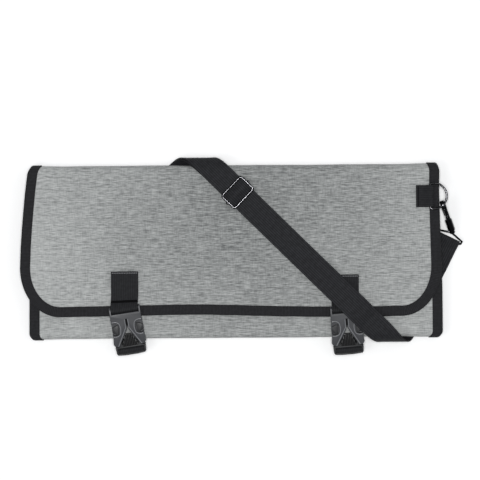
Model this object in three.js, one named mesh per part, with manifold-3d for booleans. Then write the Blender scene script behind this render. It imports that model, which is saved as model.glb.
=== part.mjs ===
// Knife roll, closed and lying on its back: millimetres, +X along its length, +Y to its top fold, +Z up.
// The origin is under the middle of the whole thing, on the surface that it lies on.
import * as THREE from 'three';
import { mergeVertices } from 'three/addons/utils/BufferGeometryUtils.js';
import Module from 'manifold-3d';

const wasm = await Module();
wasm.setup();

const rad = THREE.MathUtils.degToRad;
const vec = (x, y, z) => new THREE.Vector3(x, y, z);
const UP = vec(0, 0, 1);

// Driving sizes
const CLEAR = 0.3; // between two pieces that touch
const SHEET = { length: 486, height: 205.4, thick: 3, pocket: 156, cornerWide: 47, cornerDeep: 58 };
const FOLD = { lowGap: 7, topGap: 12.4 }; // between the inner faces of the two layers at a fold
const FLAP_DROP = 178.7; // from the top fold's outside to the flap's end
const BINDING = { wall: 0.7, wide: 12.2 };
const STRAP = { wide: 30, thick: 1.5, columns: 5 };
const WEBBING = { wide: 32, thick: 1.5, plugWide: 29.6 }; // the buckles' tabs, drawn in at the plug's bar
const LINK = { bar: 1, barWide: 4, long: 20, tabLong: 25, tabBack: 14 };
const RING = {
  wire: 2.8, radius: 16.6, inset: 14, bend: 3.7, down: 39.1, lift: 0.9, tabWide: 26, tabLong: 17,
};
const SLIDER = { wire: 2, deep: 24, play: 0.6, barDrop: 1.6, knob: 1.7, down: 33.1 };
const BUCKLE = {
  bar: 3.4, thickUp: 4.6, thickDown: 3.4, wall: 1.8, lug: 2, mouth: 42.6, shoulder: 37.6, waist: 35.4,
  plugBar: 49.3, plugEnd: 54, plugLug: 2.7, slotWide: 2.4, slotTop: 10.4, vTop: 21.6, vHalf: 13,
  cavityHalf: 14.4, pitch: 11, rise: 2.4, plateTop: 29.1,
};
// The socket's side windows: their size, corner and place in from the shoulder and below the bar
const WINDOW = { wide: 10, long: 16, corner: 4.4, inset: 4.6, down: 21.6, sideFrom: 27.5, sideTo: 17 };
// The two buckles: share of the half length, the bar's height above the flap's end, tilt, tab's length
const BUCKLES = [
  { side: 'left', share: -0.5444, up: 9.1, tilt: 8.5, tabLong: 44.5 },
  { side: 'right', share: 0.5251, up: 7.4, tilt: 4.5, tabLong: 40.6 },
];
const HOOK = {
  wide: 5, seat: 3.4, wall: 2, window: 11, neck: 21, barrel: 4.2, gate: 2.2, gateWide: 4.4, pivot: 1.5,
  eyeWire: 2.5, eyeHalf: 16.8, collar: 3.1, swivel: { x: 4, y: 10.2, z: 7 },
};
// Where the strap crosses the roll's long edges, and where its two ends are held, in plan
const [halfLength, halfHeight] = [SHEET.length / 2, SHEET.height / 2];
const ROUTE = {
  eyeRight: { x: halfLength + 8.3, y: halfHeight - RING.down - 50 },
  lowBack: { x: 0.803 * halfLength, y: 2.4 - halfHeight },
  lowFront: { x: 0.717 * halfLength, y: 1.7 - halfHeight },
  topFront: { x: -0.1317 * halfLength, y: halfHeight + 0.3 },
  topBack: { x: -0.2403 * halfLength, y: halfHeight + 1 },
  eyeLeft: { x: -0.6955 * halfLength, y: -0.1168 * halfHeight },
};
const WRAP = {
  lowInset: 8.7, lowOut: 13.75, lowTop: 31.5, topInset: 6.7, topOut: 15.2, tail: 38, steps: 20,
};

// Heights and fold places that follow from them
const layer = STRAP.thick + CLEAR;
const underside = 2 * STRAP.thick + LINK.bar + 3 * CLEAR;
const lowRadius = (FOLD.lowGap + SHEET.thick) / 2;
const topRadius = (FOLD.topGap + SHEET.thick) / 2;
const midBack = underside + SHEET.thick / 2;
const midInner = midBack + 2 * lowRadius;
const midFlap = midBack + 2 * topRadius;
const flapTop = midFlap + SHEET.thick / 2;
const proud = SHEET.thick / 2 + CLEAR + BINDING.wall;
const creaseLow = lowRadius + SHEET.thick / 2 - SHEET.height / 2;
const creaseTop = SHEET.height / 2 - topRadius - SHEET.thick / 2;
const flapEnd = SHEET.height / 2 - FLAP_DROP;
const [ringBar, ringMiddle] = [halfLength - RING.inset, halfHeight - RING.down];
const lowMiddle = WRAP.lowInset - halfHeight;
const topMiddle = halfHeight - WRAP.topInset;

// Distances along the sheet at which each run starts, from the pocket's free end to the flap's end
const START = { inner: 0, low: SHEET.pocket };
START.back = START.low + Math.PI * lowRadius;
START.top = START.back + creaseTop - creaseLow;
START.flap = START.top + Math.PI * topRadius;
START.corner = START.flap + creaseTop - flapEnd - SHEET.cornerDeep;
START.end = START.corner + SHEET.cornerDeep;

// The sheet's two long edges: share of a run, and half lengths out from the middle
const EDGES = [
  { run: 'inner', share: 0, left: 1.006, right: 0.988 },
  { run: 'inner', share: 0.5, left: 1.008, right: 0.998 },
  { run: 'low', share: 0, left: 1.012, right: 1.001 },
  { run: 'low', share: 0.5, left: 0.995, right: 0.984 },
  { run: 'back', share: 0, left: 1.0, right: 1.0 },
  { run: 'back', share: 0.3, left: 1.006, right: 0.985 },
  { run: 'back', share: 0.5, left: 1.01, right: 0.962 },
  { run: 'back', share: 0.7, left: 1.014, right: 0.963 },
  { run: 'top', share: 0, left: 1.018, right: 0.986 },
  { run: 'top', share: 0.5, left: 0.996, right: 0.977 },
  { run: 'flap', share: 0, left: 1.014, right: 0.988 },
  { run: 'flap', share: 0.2, left: 1.026, right: 0.986 },
  { run: 'flap', share: 0.7, left: 1.047, right: 0.991 },
  { run: 'corner', share: 0, left: 1.053, right: 0.994 },
];
const NEXT = { inner: 'low', low: 'back', back: 'top', top: 'flap', flap: 'corner', corner: 'end' };
const STEPS = { inner: 3, low: 8, back: 10, top: 8, flap: 5, corner: 9 };

// The flap's end: share of the way from left to right, and corner depths that it lies above its mean
const END_WAVE = [
  { share: 0, up: 0.0 }, { share: 0.15, up: 0.012 }, { share: 0.4, up: 0.034 }, { share: 0.55, up: 0.006 },
  { share: 0.7, up: -0.024 }, { share: 0.9, up: -0.033 }, { share: 1, up: -0.024 },
];

/** The value of a table's column at a place, along a smooth curve through its rows. */
function through(rows, at, column, place) {
  const last = rows.length - 1;
  let i = rows.findIndex((row) => at(row) > place) - 1;
  if (i < 0) i = place <= at(rows[0]) ? 0 : last - 1;
  const slope = (k) => {
    const a = rows[Math.max(k - 1, 0)];
    const b = rows[Math.min(k + 1, last)];
    return (b[column] - a[column]) / (at(b) - at(a));
  };
  const span = at(rows[i + 1]) - at(rows[i]);
  const t = (place - at(rows[i])) / span;
  const [t2, t3] = [t * t, t * t * t];
  return (2 * t3 - 3 * t2 + 1) * rows[i][column] + (t3 - 2 * t2 + t) * span * slope(i)
    + (3 * t2 - 2 * t3) * rows[i + 1][column] + (t3 - t2) * span * slope(i + 1);
}

/** A closed mesh from its points and triangles, turned so that its faces point out. */
function solid(points, triangles) {
  let volume = 0;
  for (const [a, b, c] of triangles) {
    volume += points[a].dot(new THREE.Vector3().crossVectors(points[b], points[c]));
  }
  const geometry = new THREE.BufferGeometry();
  const flat = points.flatMap((p) => [p.x, p.y, p.z]);
  geometry.setAttribute('position', new THREE.Float32BufferAttribute(flat, 3));
  geometry.setIndex(triangles.flatMap(([a, b, c]) => (volume > 0 ? [a, b, c] : [a, c, b])));
  return geometry;
}

/** A skin over rings of equally many points: a closed loop of rings, or one with a cap on each end. */
function skin(rings, closed) {
  const count = rings[0].length;
  const triangles = [];
  const spans = closed ? rings.length : rings.length - 1;
  for (let i = 0; i < spans; i += 1) {
    const [here, next] = [i * count, ((i + 1) % rings.length) * count];
    for (let k = 0; k < count; k += 1) {
      const k2 = (k + 1) % count;
      triangles.push([here + k, here + k2, next + k2], [here + k, next + k2, next + k]);
    }
  }
  if (!closed) {
    const end = (rings.length - 1) * count;
    for (let k = 0; k < count / 2 - 1; k += 1) {
      const [b, c, d] = [k + 1, count - 2 - k, count - 1 - k];
      triangles.push([k, c, b], [k, d, c], [end + k, end + b, end + c], [end + k, end + c, end + d]);
    }
  }
  return solid(rings.flat(), triangles);
}

/** A line across a band: its middle, a unit vector across, and how many points share its width. */
function acrossLine(centre, across, wide, count = 2) {
  return Array.from({ length: count }, (_, k) => centre.clone()
    .addScaledVector(across, wide * (k / (count - 1) - 0.5)));
}

/** A flat band through lines across it, with its thickness half on each side of them. */
function band(lines, thick) {
  const last = lines.length - 1;
  const rings = lines.map((line, i) => {
    const outs = line.map((point, k) => {
      const along = lines[Math.min(i + 1, last)][k].clone().sub(lines[Math.max(i - 1, 0)][k]);
      const next = Math.min(k + 1, line.length - 1);
      return along.cross(line[next].clone().sub(line[Math.max(k - 1, 0)])).normalize();
    });
    const face = (side) => line.map((point, k) => point.clone().addScaledVector(outs[k], side * thick / 2));
    return [...face(-1), ...face(1).reverse()];
  });
  return skin(rings, false);
}

/** Points of an arc round a middle, in a plane of two unit vectors, from one angle to another. */
function arc(middle, first, second, radius, from, to, steps) {
  return Array.from({ length: steps + 1 }, (_, i) => {
    const angle = rad(from + (to - from) * i / steps);
    return middle.clone().addScaledVector(first, radius * Math.cos(angle))
      .addScaledVector(second, radius * Math.sin(angle));
  });
}

/** A round wire along a closed flat path, given as points in the XY plane. */
function wireLoop(path, radius, sides = 8) {
  const rings = path.map((point, i) => {
    const before = path[(i + path.length - 1) % path.length];
    const after = path[(i + 1) % path.length];
    const one = point.clone().sub(before).normalize();
    const two = after.clone().sub(point).normalize();
    const along = one.add(two).normalize();
    const side = new THREE.Vector2(along.y, -along.x);
    return Array.from({ length: sides }, (_, k) => {
      const angle = 2 * Math.PI * (k + 0.5) / sides;
      const reach = radius * Math.cos(angle);
      return vec(point.x + side.x * reach, point.y + side.y * reach, radius * Math.sin(angle));
    });
  });
  return skin(rings, true);
}

/** A rectangle with round corners, as points in the XY plane round its middle. */
function roundedPath(wide, deep, corner, steps = 4) {
  const [x, y] = [wide / 2 - corner, deep / 2 - corner];
  const places = [[x, y, 0], [-x, y, 90], [-x, -y, 180], [x, -y, 270]];
  return places.flatMap(([cx, cy, start]) => Array.from({ length: steps + 1 }, (_, i) => {
    const angle = rad(start + 90 * i / steps);
    return new THREE.Vector2(cx + corner * Math.cos(angle), cy + corner * Math.sin(angle));
  }));
}

/** A flat outline given thickness from bottom to top, with chamfered rims. */
function slab(points, bottom, top, rim = 0) {
  const shape = new THREE.Shape(points.map(([x, y]) => new THREE.Vector2(x, y)));
  const geometry = new THREE.ExtrudeGeometry(shape, {
    depth: top - bottom - 2 * rim, bevelEnabled: rim > 0, bevelThickness: rim, bevelSize: rim,
    bevelOffset: -rim, bevelSegments: 2, steps: 1,
  });
  return geometry.translate(0, 0, bottom + rim);
}

/** A three.js geometry as a solid for joining and cutting. */
function cuttable(geometry) {
  const bare = geometry.clone();
  bare.deleteAttribute('normal');
  bare.deleteAttribute('uv');
  const merged = mergeVertices(bare, 1e-4);
  return new wasm.Manifold(new wasm.Mesh({
    numProp: 3,
    vertProperties: new Float32Array(merged.attributes.position.array),
    triVerts: new Uint32Array(merged.index.array),
  }));
}

/** Solids joined into one, with others cut away, as a three.js geometry. */
function carve(joined, cuts = []) {
  let body = joined.map(cuttable).reduce((sum, piece) => sum.add(piece));
  for (const cut of cuts) body = body.subtract(cuttable(cut));
  const mesh = body.getMesh();
  const geometry = new THREE.BufferGeometry();
  geometry.setAttribute('position', new THREE.BufferAttribute(new Float32Array(mesh.vertProperties), 3));
  geometry.setIndex(new THREE.BufferAttribute(new Uint32Array(mesh.triVerts), 1));
  return geometry;
}

/** A box between two corners. */
function block(x0, x1, y0, y1, z0, z1) {
  return new THREE.BoxGeometry(x1 - x0, y1 - y0, z1 - z0)
    .translate((x0 + x1) / 2, (y0 + y1) / 2, (z0 + z1) / 2);
}

/** A round bar along X through a point in the YZ plane. */
function crossBar(radius, from, to, y = 0, z = 0, sides = 12) {
  return new THREE.CylinderGeometry(radius, radius, to - from, sides)
    .rotateZ(Math.PI / 2).translate((from + to) / 2, y, z);
}

// Materials, as the photo shows them
const paint = (color, roughness, metalness) => (
  new THREE.MeshStandardMaterial({ color, roughness, metalness })
);
const MATERIAL = {
  canvas: paint(0x969897, 0.95, 0),
  binding: paint(0x2b2b2d, 0.9, 0),
  webbing: paint(0x2e2e31, 0.85, 0),
  socket: paint(0x4a4b4e, 0.45, 0),
  plug: paint(0x26272a, 0.5, 0),
  metal: paint(0x2c2d30, 0.3, 0.9),
};

const roll = new THREE.Group();

/** Adds a named sub-part to a group. */
function add(name, geometry, material, group = roll) {
  const mesh = new THREE.Mesh(geometry, material);
  mesh.name = name;
  group.add(mesh);
  return mesh;
}

/** The point of the folded sheet at a place along its length, a distance down it, and a height off it. */
function onSheet(x, down, height) {
  if (down <= START.low) return vec(x, creaseLow + START.low - down, midInner + height);
  if (down < START.back) {
    const turn = (down - START.low) / lowRadius;
    const reach = lowRadius + height;
    return vec(x, creaseLow - reach * Math.sin(turn), midBack + lowRadius + reach * Math.cos(turn));
  }
  if (down <= START.top) return vec(x, creaseLow + down - START.back, midBack - height);
  if (down < START.flap) {
    const turn = (down - START.top) / topRadius;
    const reach = topRadius + height;
    return vec(x, creaseTop + reach * Math.sin(turn), midBack + topRadius - reach * Math.cos(turn));
  }
  return vec(x, creaseTop - (down - START.flap), midFlap + height);
}

const placeOf = (row) => START[row.run] + row.share * (START[NEXT[row.run]] - START[row.run]);
const edgeOut = (side, down) => halfLength * through(EDGES, placeOf, side, down);

/** One long edge and its flap corner, from the pocket's free end to where the flap's end starts. */
function sideLine(side) {
  const sign = side === 'left' ? -1 : 1;
  const line = [];
  for (const run of ['inner', 'low', 'back', 'top', 'flap']) {
    for (let i = 0; i < STEPS[run]; i += 1) {
      const down = placeOf({ run, share: i / STEPS[run] });
      line.push(new THREE.Vector2(sign * edgeOut(side, down), down));
    }
  }
  const out = edgeOut(side, START.corner);
  const level = END_WAVE[side === 'left' ? 0 : END_WAVE.length - 1].up;
  for (let i = 0; i <= STEPS.corner; i += 1) {
    const angle = rad(90 * i / STEPS.corner);
    const x = out - SHEET.cornerWide * (1 - Math.cos(angle));
    line.push(new THREE.Vector2(sign * x, START.corner + SHEET.cornerDeep * (1 - level) * Math.sin(angle)));
  }
  return line;
}

/** The sheet's whole edge as a closed line on the unfolded sheet, moved in by an inset. */
function sheetEdge(inset) {
  const left = sideLine('left');
  const right = sideLine('right').reverse();
  const [from, to] = [left.at(-1), right[0]];
  const steps = 12;
  const end = Array.from({ length: steps - 1 }, (_, i) => {
    const share = (i + 1) / steps;
    const up = through(END_WAVE, (row) => row.share, 'up', share);
    return new THREE.Vector2(from.x + (to.x - from.x) * share, START.end - SHEET.cornerDeep * up);
  });
  const line = [...left, ...end, ...right];
  const inward = (a, b) => new THREE.Vector2(b.y - a.y, a.x - b.x).normalize();
  const straight = left.length - STEPS.corner;
  const moved = line.map((point, i) => {
    const fromEnd = Math.min(i, line.length - 1 - i);
    if (fromEnd < straight) {
      return new THREE.Vector2(point.x - Math.sign(point.x) * inset, point.y + (fromEnd === 0 ? inset : 0));
    }
    const one = inward(line[(i + line.length - 1) % line.length], point);
    const two = inward(point, line[(i + 1) % line.length]);
    const both = one.clone().add(two);
    return point.clone().addScaledVector(both, inset / (1 + one.dot(two)));
  });
  return { line: moved, sideCount: left.length, endCount: end.length };
}

/** The canvas: the sheet inside its binding, as long strips between the two long edges. */
function canvasShell() {
  const { line, sideCount, endCount } = sheetEdge(BINDING.wall + CLEAR);
  const mirror = (i) => line.length - 1 - i;
  const faces = [];
  const half = sideCount - 1 - Math.floor(STEPS.corner / 2);
  for (let i = 0; i < half; i += 1) {
    faces.push([i, i + 1, mirror(i)], [i + 1, mirror(i + 1), mirror(i)]);
  }
  const middle = sideCount + Math.floor(endCount / 2);
  for (let i = half + 1; i < middle; i += 1) faces.push([half, i, i + 1]);
  for (let i = middle; i < mirror(half) - 1; i += 1) faces.push([mirror(half), i, i + 1]);
  faces.push([half, middle, mirror(half)]);
  const count = line.length;
  const face = (side) => line.map((p) => onSheet(p.x, p.y, side * SHEET.thick / 2));
  const walls = line.flatMap((_, i) => {
    const j = (i + 1) % count;
    return [[i, count + j, j], [i, count + i, count + j]];
  });
  const back = faces.map(([a, b, c]) => [a + count, c + count, b + count]);
  return solid([...face(1), ...face(-1)], [...faces, ...back, ...walls]);
}

/** The binding: a channel folded over the sheet's edge, all the way round. */
function edgeBinding() {
  const [outer, wall, inner] = [0, BINDING.wall, BINDING.wide].map((inset) => sheetEdge(inset).line);
  const gap = SHEET.thick / 2 + CLEAR;
  const section = [
    [outer, -proud], [outer, proud], [inner, proud], [inner, gap],
    [wall, gap], [wall, -gap], [inner, -gap], [inner, -proud],
  ];
  const rings = outer.map((_, i) => section.map(([line, height]) => onSheet(line[i].x, line[i].y, height)));
  return skin(rings, true);
}

add('canvas_shell', canvasShell(), MATERIAL.canvas);
add('edge_binding', edgeBinding(), MATERIAL.binding);

/** The socket's outline and cuts, with its bar at the origin and its mouth towards -Y. */
function socket() {
  const { bar, thickUp, thickDown, lug, wall } = BUCKLE;
  const [waist, half] = [BUCKLE.waist / 2, BUCKLE.shoulder / 2];
  const start = -(bar / 2 + WEBBING.thick + 2 * CLEAR);
  const lugOut = WEBBING.wide / 2 + CLEAR + lug;
  const outline = [
    [-lugOut, start], [-waist - 0.6, -12], [-half + 0.4, -18], [-half, -24], [-half + 0.5, -30],
    [-half - 0.6, -BUCKLE.mouth + 3], [-half + 1.4, -BUCKLE.mouth], [-BUCKLE.vHalf, -BUCKLE.mouth - 0.8],
    [0, -BUCKLE.vTop], [BUCKLE.vHalf, -BUCKLE.mouth - 0.8], [half - 1.4, -BUCKLE.mouth],
    [half + 0.6, -BUCKLE.mouth + 3], [half - 0.5, -30], [half, -24], [half - 0.4, -18], [waist + 0.6, -12],
    [lugOut, start],
  ].reverse();
  const body = slab(outline, -thickDown, thickUp, 0.9);
  const pieces = [body, crossBar(bar / 2, -lugOut + 0.5, lugOut - 0.5)];
  for (const sign of [-1, 1]) {
    const lugShape = [
      [start - 3, -thickDown], [thickDown - 1, -thickDown], [thickDown + 0.6, 0], [thickDown - 1, thickDown],
      [-1, thickUp], [start - 3, thickUp],
    ];
    const [from, to] = sign < 0 ? [-lugOut, -lugOut + lug] : [lugOut - lug, lugOut];
    pieces.push(slab(lugShape, from, to, 0.4).rotateZ(Math.PI / 2).rotateY(Math.PI / 2));
  }
  const inner = thickDown - wall;
  const { cavityHalf, slotWide, slotTop, mouth, vTop } = BUCKLE;
  const cuts = [
    block(-cavityHalf, cavityHalf, -mouth - 4, -10, -inner, thickUp - wall),
    block(-slotWide / 2, slotWide / 2, -vTop - 2, -slotTop, 0, thickUp + 1),
  ];
  for (const sign of [-1, 1]) {
    const oval = roundedPath(WINDOW.wide, WINDOW.long, WINDOW.corner).map((p) => [p.x, p.y]);
    cuts.push(slab(oval, -inner, thickUp + 1).translate(sign * (half - WINDOW.inset), -WINDOW.down, 0));
    const [from, to] = sign < 0 ? [-half - 2, -cavityHalf + 1] : [cavityHalf - 1, half + 2];
    cuts.push(block(from, to, -WINDOW.sideFrom, -WINDOW.sideTo, -inner, thickUp - wall));
  }
  return carve(pieces, cuts);
}

/** The plug: arms in the socket's hollow, a plate in its mouth, and its own bar. */
function plug() {
  const { thickUp, thickDown, wall, bar, plugLug, plugBar, plugEnd } = BUCKLE;
  const half = BUCKLE.shoulder / 2;
  const low = -(thickDown - wall) + CLEAR;
  const high = thickUp - wall - CLEAR;
  const base = BUCKLE.mouth + 1.1;
  const root = base + 1;
  const lugOut = WEBBING.plugWide / 2 + CLEAR + plugLug;
  const plate = slab([[-4, -BUCKLE.plateTop], [-10.6, -root], [10.6, -root], [4, -BUCKLE.plateTop]],
    low, high, 0.3);
  const arms = [-1, 1].map((sign) => {
    const outer = BUCKLE.cavityHalf - CLEAR;
    const arm = [[outer - 4.6, -root], [outer, -root], [outer, -28], [half - 1, -26], [half - 0.6, -20],
      [outer - 1, -17.9], [outer - 3.4, -17.9], [outer - 2.6, -28]];
    const line = arm.map(([x, y]) => [sign * x, y]);
    return slab(sign > 0 ? line.reverse() : line, low, high, 0.3);
  });
  const loop = bar / 2 + WEBBING.thick + 2 * CLEAR;
  const near = -plugBar + loop;
  const beam = slab([[-lugOut, -base], [-lugOut, near], [lugOut, near], [lugOut, -base]],
    -thickDown, thickUp - 0.8, 0.4);
  const ends = [-1, 1].map((sign) => {
    const inner = lugOut - plugLug;
    const outline = [[inner, -plugEnd], [lugOut - 2, -plugEnd + 0.3], [lugOut - 0.9, -plugEnd + 1.4],
      [lugOut - 0.3, -plugEnd + 3], [lugOut, -base - 0.3], [inner, -base - 0.3]];
    const line = outline.map(([x, y]) => [sign * x, y]);
    return slab(sign > 0 ? line : line.reverse(), -thickDown + 0.4, thickDown - 0.2, 0.5);
  });
  const rod = crossBar(bar / 2, -lugOut + 0.3, lugOut - 0.3, -plugBar);
  return carve([beam, plate, ...arms, ...ends, rod]);
}

const bindingTop = midFlap + proud;
const barHeight = bindingTop + CLEAR + WEBBING.thick + CLEAR + BUCKLE.bar / 2 + BUCKLE.rise;
const loopRadius = BUCKLE.bar / 2 + CLEAR + WEBBING.thick / 2;

/** The flap's tab: sewn on the flap, then round the socket's bar and back over itself. */
function flapTab({ x, y, tilt, tabLong }) {
  const bar = vec(x, y, barHeight);
  const lower = flapTop + CLEAR + WEBBING.thick / 2;
  const top = y + tabLong;
  const across = (share) => vec(Math.cos(rad(tilt * share)), Math.sin(rad(tilt * share)), 0);
  const at = (dy, z, share) => ({
    centre: vec(x - share * Math.sin(rad(tilt)) * Math.min(dy - y, 5), dy, z), across: across(share),
  });
  const ahead = vec(Math.sin(rad(tilt)), -Math.cos(rad(tilt)), 0);
  const turn = arc(bar, UP, ahead, loopRadius, 180, -30, 12)
    .map((centre) => ({ centre, across: across(1) }));
  const over = lower + WEBBING.thick + CLEAR;
  const stations = [
    at(top, lower, 0), at(y + 16, lower, 0), at(y + 10, lower + 0.5, 0.5),
    at(y + 4, barHeight - loopRadius - 0.6, 1),
    ...turn,
    at(y + 5, barHeight + 0.4, 1), at(y + 10, over + 0.9, 0.4), at(y + 15, over, 0), at(top, over, 0),
  ];
  const lines = stations.map((station) => acrossLine(station.centre, station.across, WEBBING.wide));
  return band(lines, WEBBING.thick);
}

/** The back's tab: round the plug's bar, down past the bottom fold, and sewn under the back. */
function backTab({ x, y, tilt }) {
  const ahead = vec(Math.sin(rad(tilt)), -Math.cos(rad(tilt)), 0);
  const across = vec(Math.cos(rad(tilt)), Math.sin(rad(tilt)), 0);
  const reach = BUCKLE.plugBar * Math.cos(rad(BUCKLE.pitch));
  const drop = BUCKLE.plugBar * Math.sin(rad(BUCKLE.pitch));
  const bar = vec(x, y, barHeight - drop).addScaledVector(ahead, reach);
  const at = (out, z) => bar.clone().addScaledVector(ahead, out).setZ(z);
  const sewn = underside - CLEAR - WEBBING.thick / 2;
  const turn = arc(bar, ahead, UP, loopRadius, 180, 0, 10);
  const edge = -(SHEET.height / 2 + bar.y);
  return band([
    at(-loopRadius, bar.z - 7), ...turn, at(loopRadius - 1.5, bar.z - 8), at(-0.4 * edge, sewn + 3.2),
    at(-0.4 * edge - 3.5, sewn + 0.8), at(-0.4 * edge - 7.5, sewn), at(-60, sewn),
  ].map((centre) => acrossLine(centre, across, WEBBING.plugWide)), WEBBING.thick);
}

for (const { side, share, up, tilt, tabLong } of BUCKLES) {
  const place = { side, tilt, tabLong, x: share * halfLength, y: flapEnd + up };
  add(`flap_tab_${place.side}`, flapTab(place), MATERIAL.webbing);
  add(`back_tab_${place.side}`, backTab(place), MATERIAL.webbing);
  const buckle = new THREE.Group();
  buckle.position.set(place.x, place.y, barHeight);
  buckle.rotation.set(rad(BUCKLE.pitch), 0, rad(place.tilt), 'ZYX');
  add(`buckle_socket_${place.side}`, socket(), MATERIAL.socket, buckle);
  add(`buckle_plug_${place.side}`, plug(), MATERIAL.plug, buckle);
  roll.add(buckle);
}

// The D-ring, held by a folded tab on the flap beside its right edge
const ringLoop = RING.wire / 2 + CLEAR + STRAP.thick / 2;
const ringHeight = bindingTop + RING.lift + STRAP.thick / 2 + ringLoop;
const ringBend = ringBar + RING.bend;

function ringTab() {
  const across = vec(0, 1, 0);
  const lower = flapTop + CLEAR + STRAP.thick / 2;
  const at = (x, z) => vec(x, ringMiddle, z);
  const turn = arc(vec(ringBar, ringMiddle, ringHeight), UP, vec(1, 0, 0), ringLoop, 180, -30, 12);
  const start = ringBar - RING.tabLong;
  return band([
    at(start, lower), at(ringBar - 7, lower + 0.3), ...turn, at(ringBar - 9, lower + layer + 0.5),
    at(start, lower + layer),
  ].map((centre) => acrossLine(centre, across, RING.tabWide)), STRAP.thick);
}

function dRing() {
  const half = RING.radius - RING.wire / 2;
  const bow = Array.from({ length: 17 }, (_, i) => {
    const angle = rad(-90 + 180 * i / 16);
    return new THREE.Vector2(ringBend + half * Math.cos(angle), ringMiddle + half * Math.sin(angle));
  });
  const corners = [[1, half], [0, half - 1], [0, 1 - half], [1, -half]]
    .map(([x, y]) => new THREE.Vector2(ringBar + x, ringMiddle + y));
  return wireLoop([...bow, ...corners], RING.wire / 2).translate(0, 0, ringHeight);
}

add('ring_tab_right', ringTab(), MATERIAL.webbing);
add('d_ring_right', dRing(), MATERIAL.metal);

// The snap hook hangs from the ring's lower right bow and slopes down to the strap's end on the floor
const wireMiddle = RING.radius - RING.wire / 2;
const hookTurn = -45;
const clawAt = vec(
  ringBend + wireMiddle * Math.cos(rad(hookTurn)),
  ringMiddle + wireMiddle * Math.sin(rad(hookTurn)),
  ringHeight,
);
const eyeBar = STRAP.thick + CLEAR + HOOK.eyeWire / 2;
const eyeAt = vec(ROUTE.eyeRight.x, ROUTE.eyeRight.y, eyeBar);
const { x: swivelX, y: swivelY, z: swivelZ } = HOOK.swivel;
const barrelAt = vec(ROUTE.eyeRight.x + swivelX, ROUTE.eyeRight.y + swivelY, eyeBar + swivelZ);
const hookLong = clawAt.distanceTo(barrelAt);

const hook = new THREE.Group();
hook.position.copy(clawAt);
const hookBack = clawAt.clone().sub(barrelAt).normalize();
const hookSide = new THREE.Vector3().crossVectors(hookBack, UP).normalize();
const hookUp = new THREE.Vector3().crossVectors(hookSide, hookBack);
hook.quaternion.setFromRotationMatrix(new THREE.Matrix4().makeBasis(hookSide, hookBack, hookUp));

/** A profile in the hook's YZ plane, given thickness across it. */
function across(points, wide, rim = 0) {
  return slab(points, -wide / 2, wide / 2, rim).rotateZ(Math.PI / 2).rotateY(Math.PI / 2);
}

const gateTip = -HOOK.seat + 0.2;
const pivotAt = [-HOOK.window - 2.5, HOOK.seat + HOOK.wall / 2];

function hookBody() {
  const out = HOOK.seat + HOOK.wall;
  const round = (middle, radius, from, to, steps) => Array.from({ length: steps + 1 }, (_, i) => {
    const angle = rad(from + (to - from) * i / steps);
    return [middle + radius * Math.cos(angle), radius * Math.sin(angle)];
  });
  const outline = [...round(0, out, -90, 90, 10), [-HOOK.window - 5, out], [-HOOK.neck, HOOK.barrel - 1],
    [-HOOK.neck - 2, HOOK.barrel - 1], [-HOOK.neck - 2, 1 - HOOK.barrel], [-HOOK.neck, 1 - HOOK.barrel],
    [-HOOK.window - 3, -out]];
  const window = [...round(0, HOOK.seat, -90, 90, 8), ...round(-HOOK.window, HOOK.seat, 90, 270, 8)];
  const barrel = new THREE.CylinderGeometry(HOOK.barrel, HOOK.barrel, hookLong - HOOK.neck - 1, 14)
    .translate(0, -(hookLong + HOOK.neck + 1) / 2, 0);
  const recess = crossBar(HOOK.pivot + CLEAR, -HOOK.wide, HOOK.wide, pivotAt[0], pivotAt[1], 14);
  const doorway = block(-HOOK.wide, HOOK.wide, pivotAt[0], gateTip + CLEAR, HOOK.seat - 1, out + 1);
  return carve([across(outline, HOOK.wide, 0.7), barrel], [across(window, HOOK.wide + 2), recess, doorway]);
}

function hookGate() {
  const [foot, middle] = pivotAt;
  const half = HOOK.gateWide / 2;
  const lever = block(-half, half, foot, gateTip, middle - HOOK.gate / 2, middle + HOOK.gate / 2);
  const round = crossBar(HOOK.pivot, -half, half, foot, middle, 14);
  return carve([lever, round]).translate(0, -foot, -middle);
}

add('hook_body_right', hookBody(), MATERIAL.metal, hook);
const gate = add('hook_gate_right', hookGate(), MATERIAL.metal, hook);
gate.position.set(0, pivotAt[0], pivotAt[1]);
roll.add(hook);

// The strap's direction where it leaves the eye, towards the roll's lower edge
const flatLine = (from, to) => vec(to.x - from.x, to.y - from.y, 0).normalize();
const leaving = flatLine(ROUTE.eyeRight, ROUTE.lowBack);
const eyeAcross = vec(leaving.y, -leaving.x, 0);

/** The hook's swivel eye: a wire triangle round the strap, under a collar at the barrel. */
function hookEye() {
  const end = hookBack.clone().multiplyScalar(-(CLEAR + 2)).add(barrelAt);
  const rise = end.clone().sub(eyeAt);
  const reach = rise.length();
  const inPlane = rise.clone().addScaledVector(eyeAcross, -rise.dot(eyeAcross)).normalize();
  const top = reach * 0.8;
  const lean = rise.dot(eyeAcross);
  const half = HOOK.eyeHalf;
  const path = [[-half + 1, 0], [-half, 1], [-half, 4.4], [lean - 1.4, top], [lean + 1.4, top],
    [half, 4.4], [half, 1], [half - 1, 0]].map(([x, y]) => new THREE.Vector2(x, y)).reverse();
  const normal = new THREE.Vector3().crossVectors(eyeAcross, inPlane);
  const wire = wireLoop(path, HOOK.eyeWire / 2)
    .applyMatrix4(new THREE.Matrix4().makeBasis(eyeAcross, inPlane, normal).setPosition(eyeAt));
  const collar = new THREE.CylinderGeometry(HOOK.collar, HOOK.collar, 4, 14)
    .applyQuaternion(new THREE.Quaternion().setFromUnitVectors(vec(0, 1, 0), hookBack))
    .translate(end.x, end.y, end.z);
  return carve([wire, collar]);
}

add('hook_eye_right', hookEye(), MATERIAL.metal);

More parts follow.
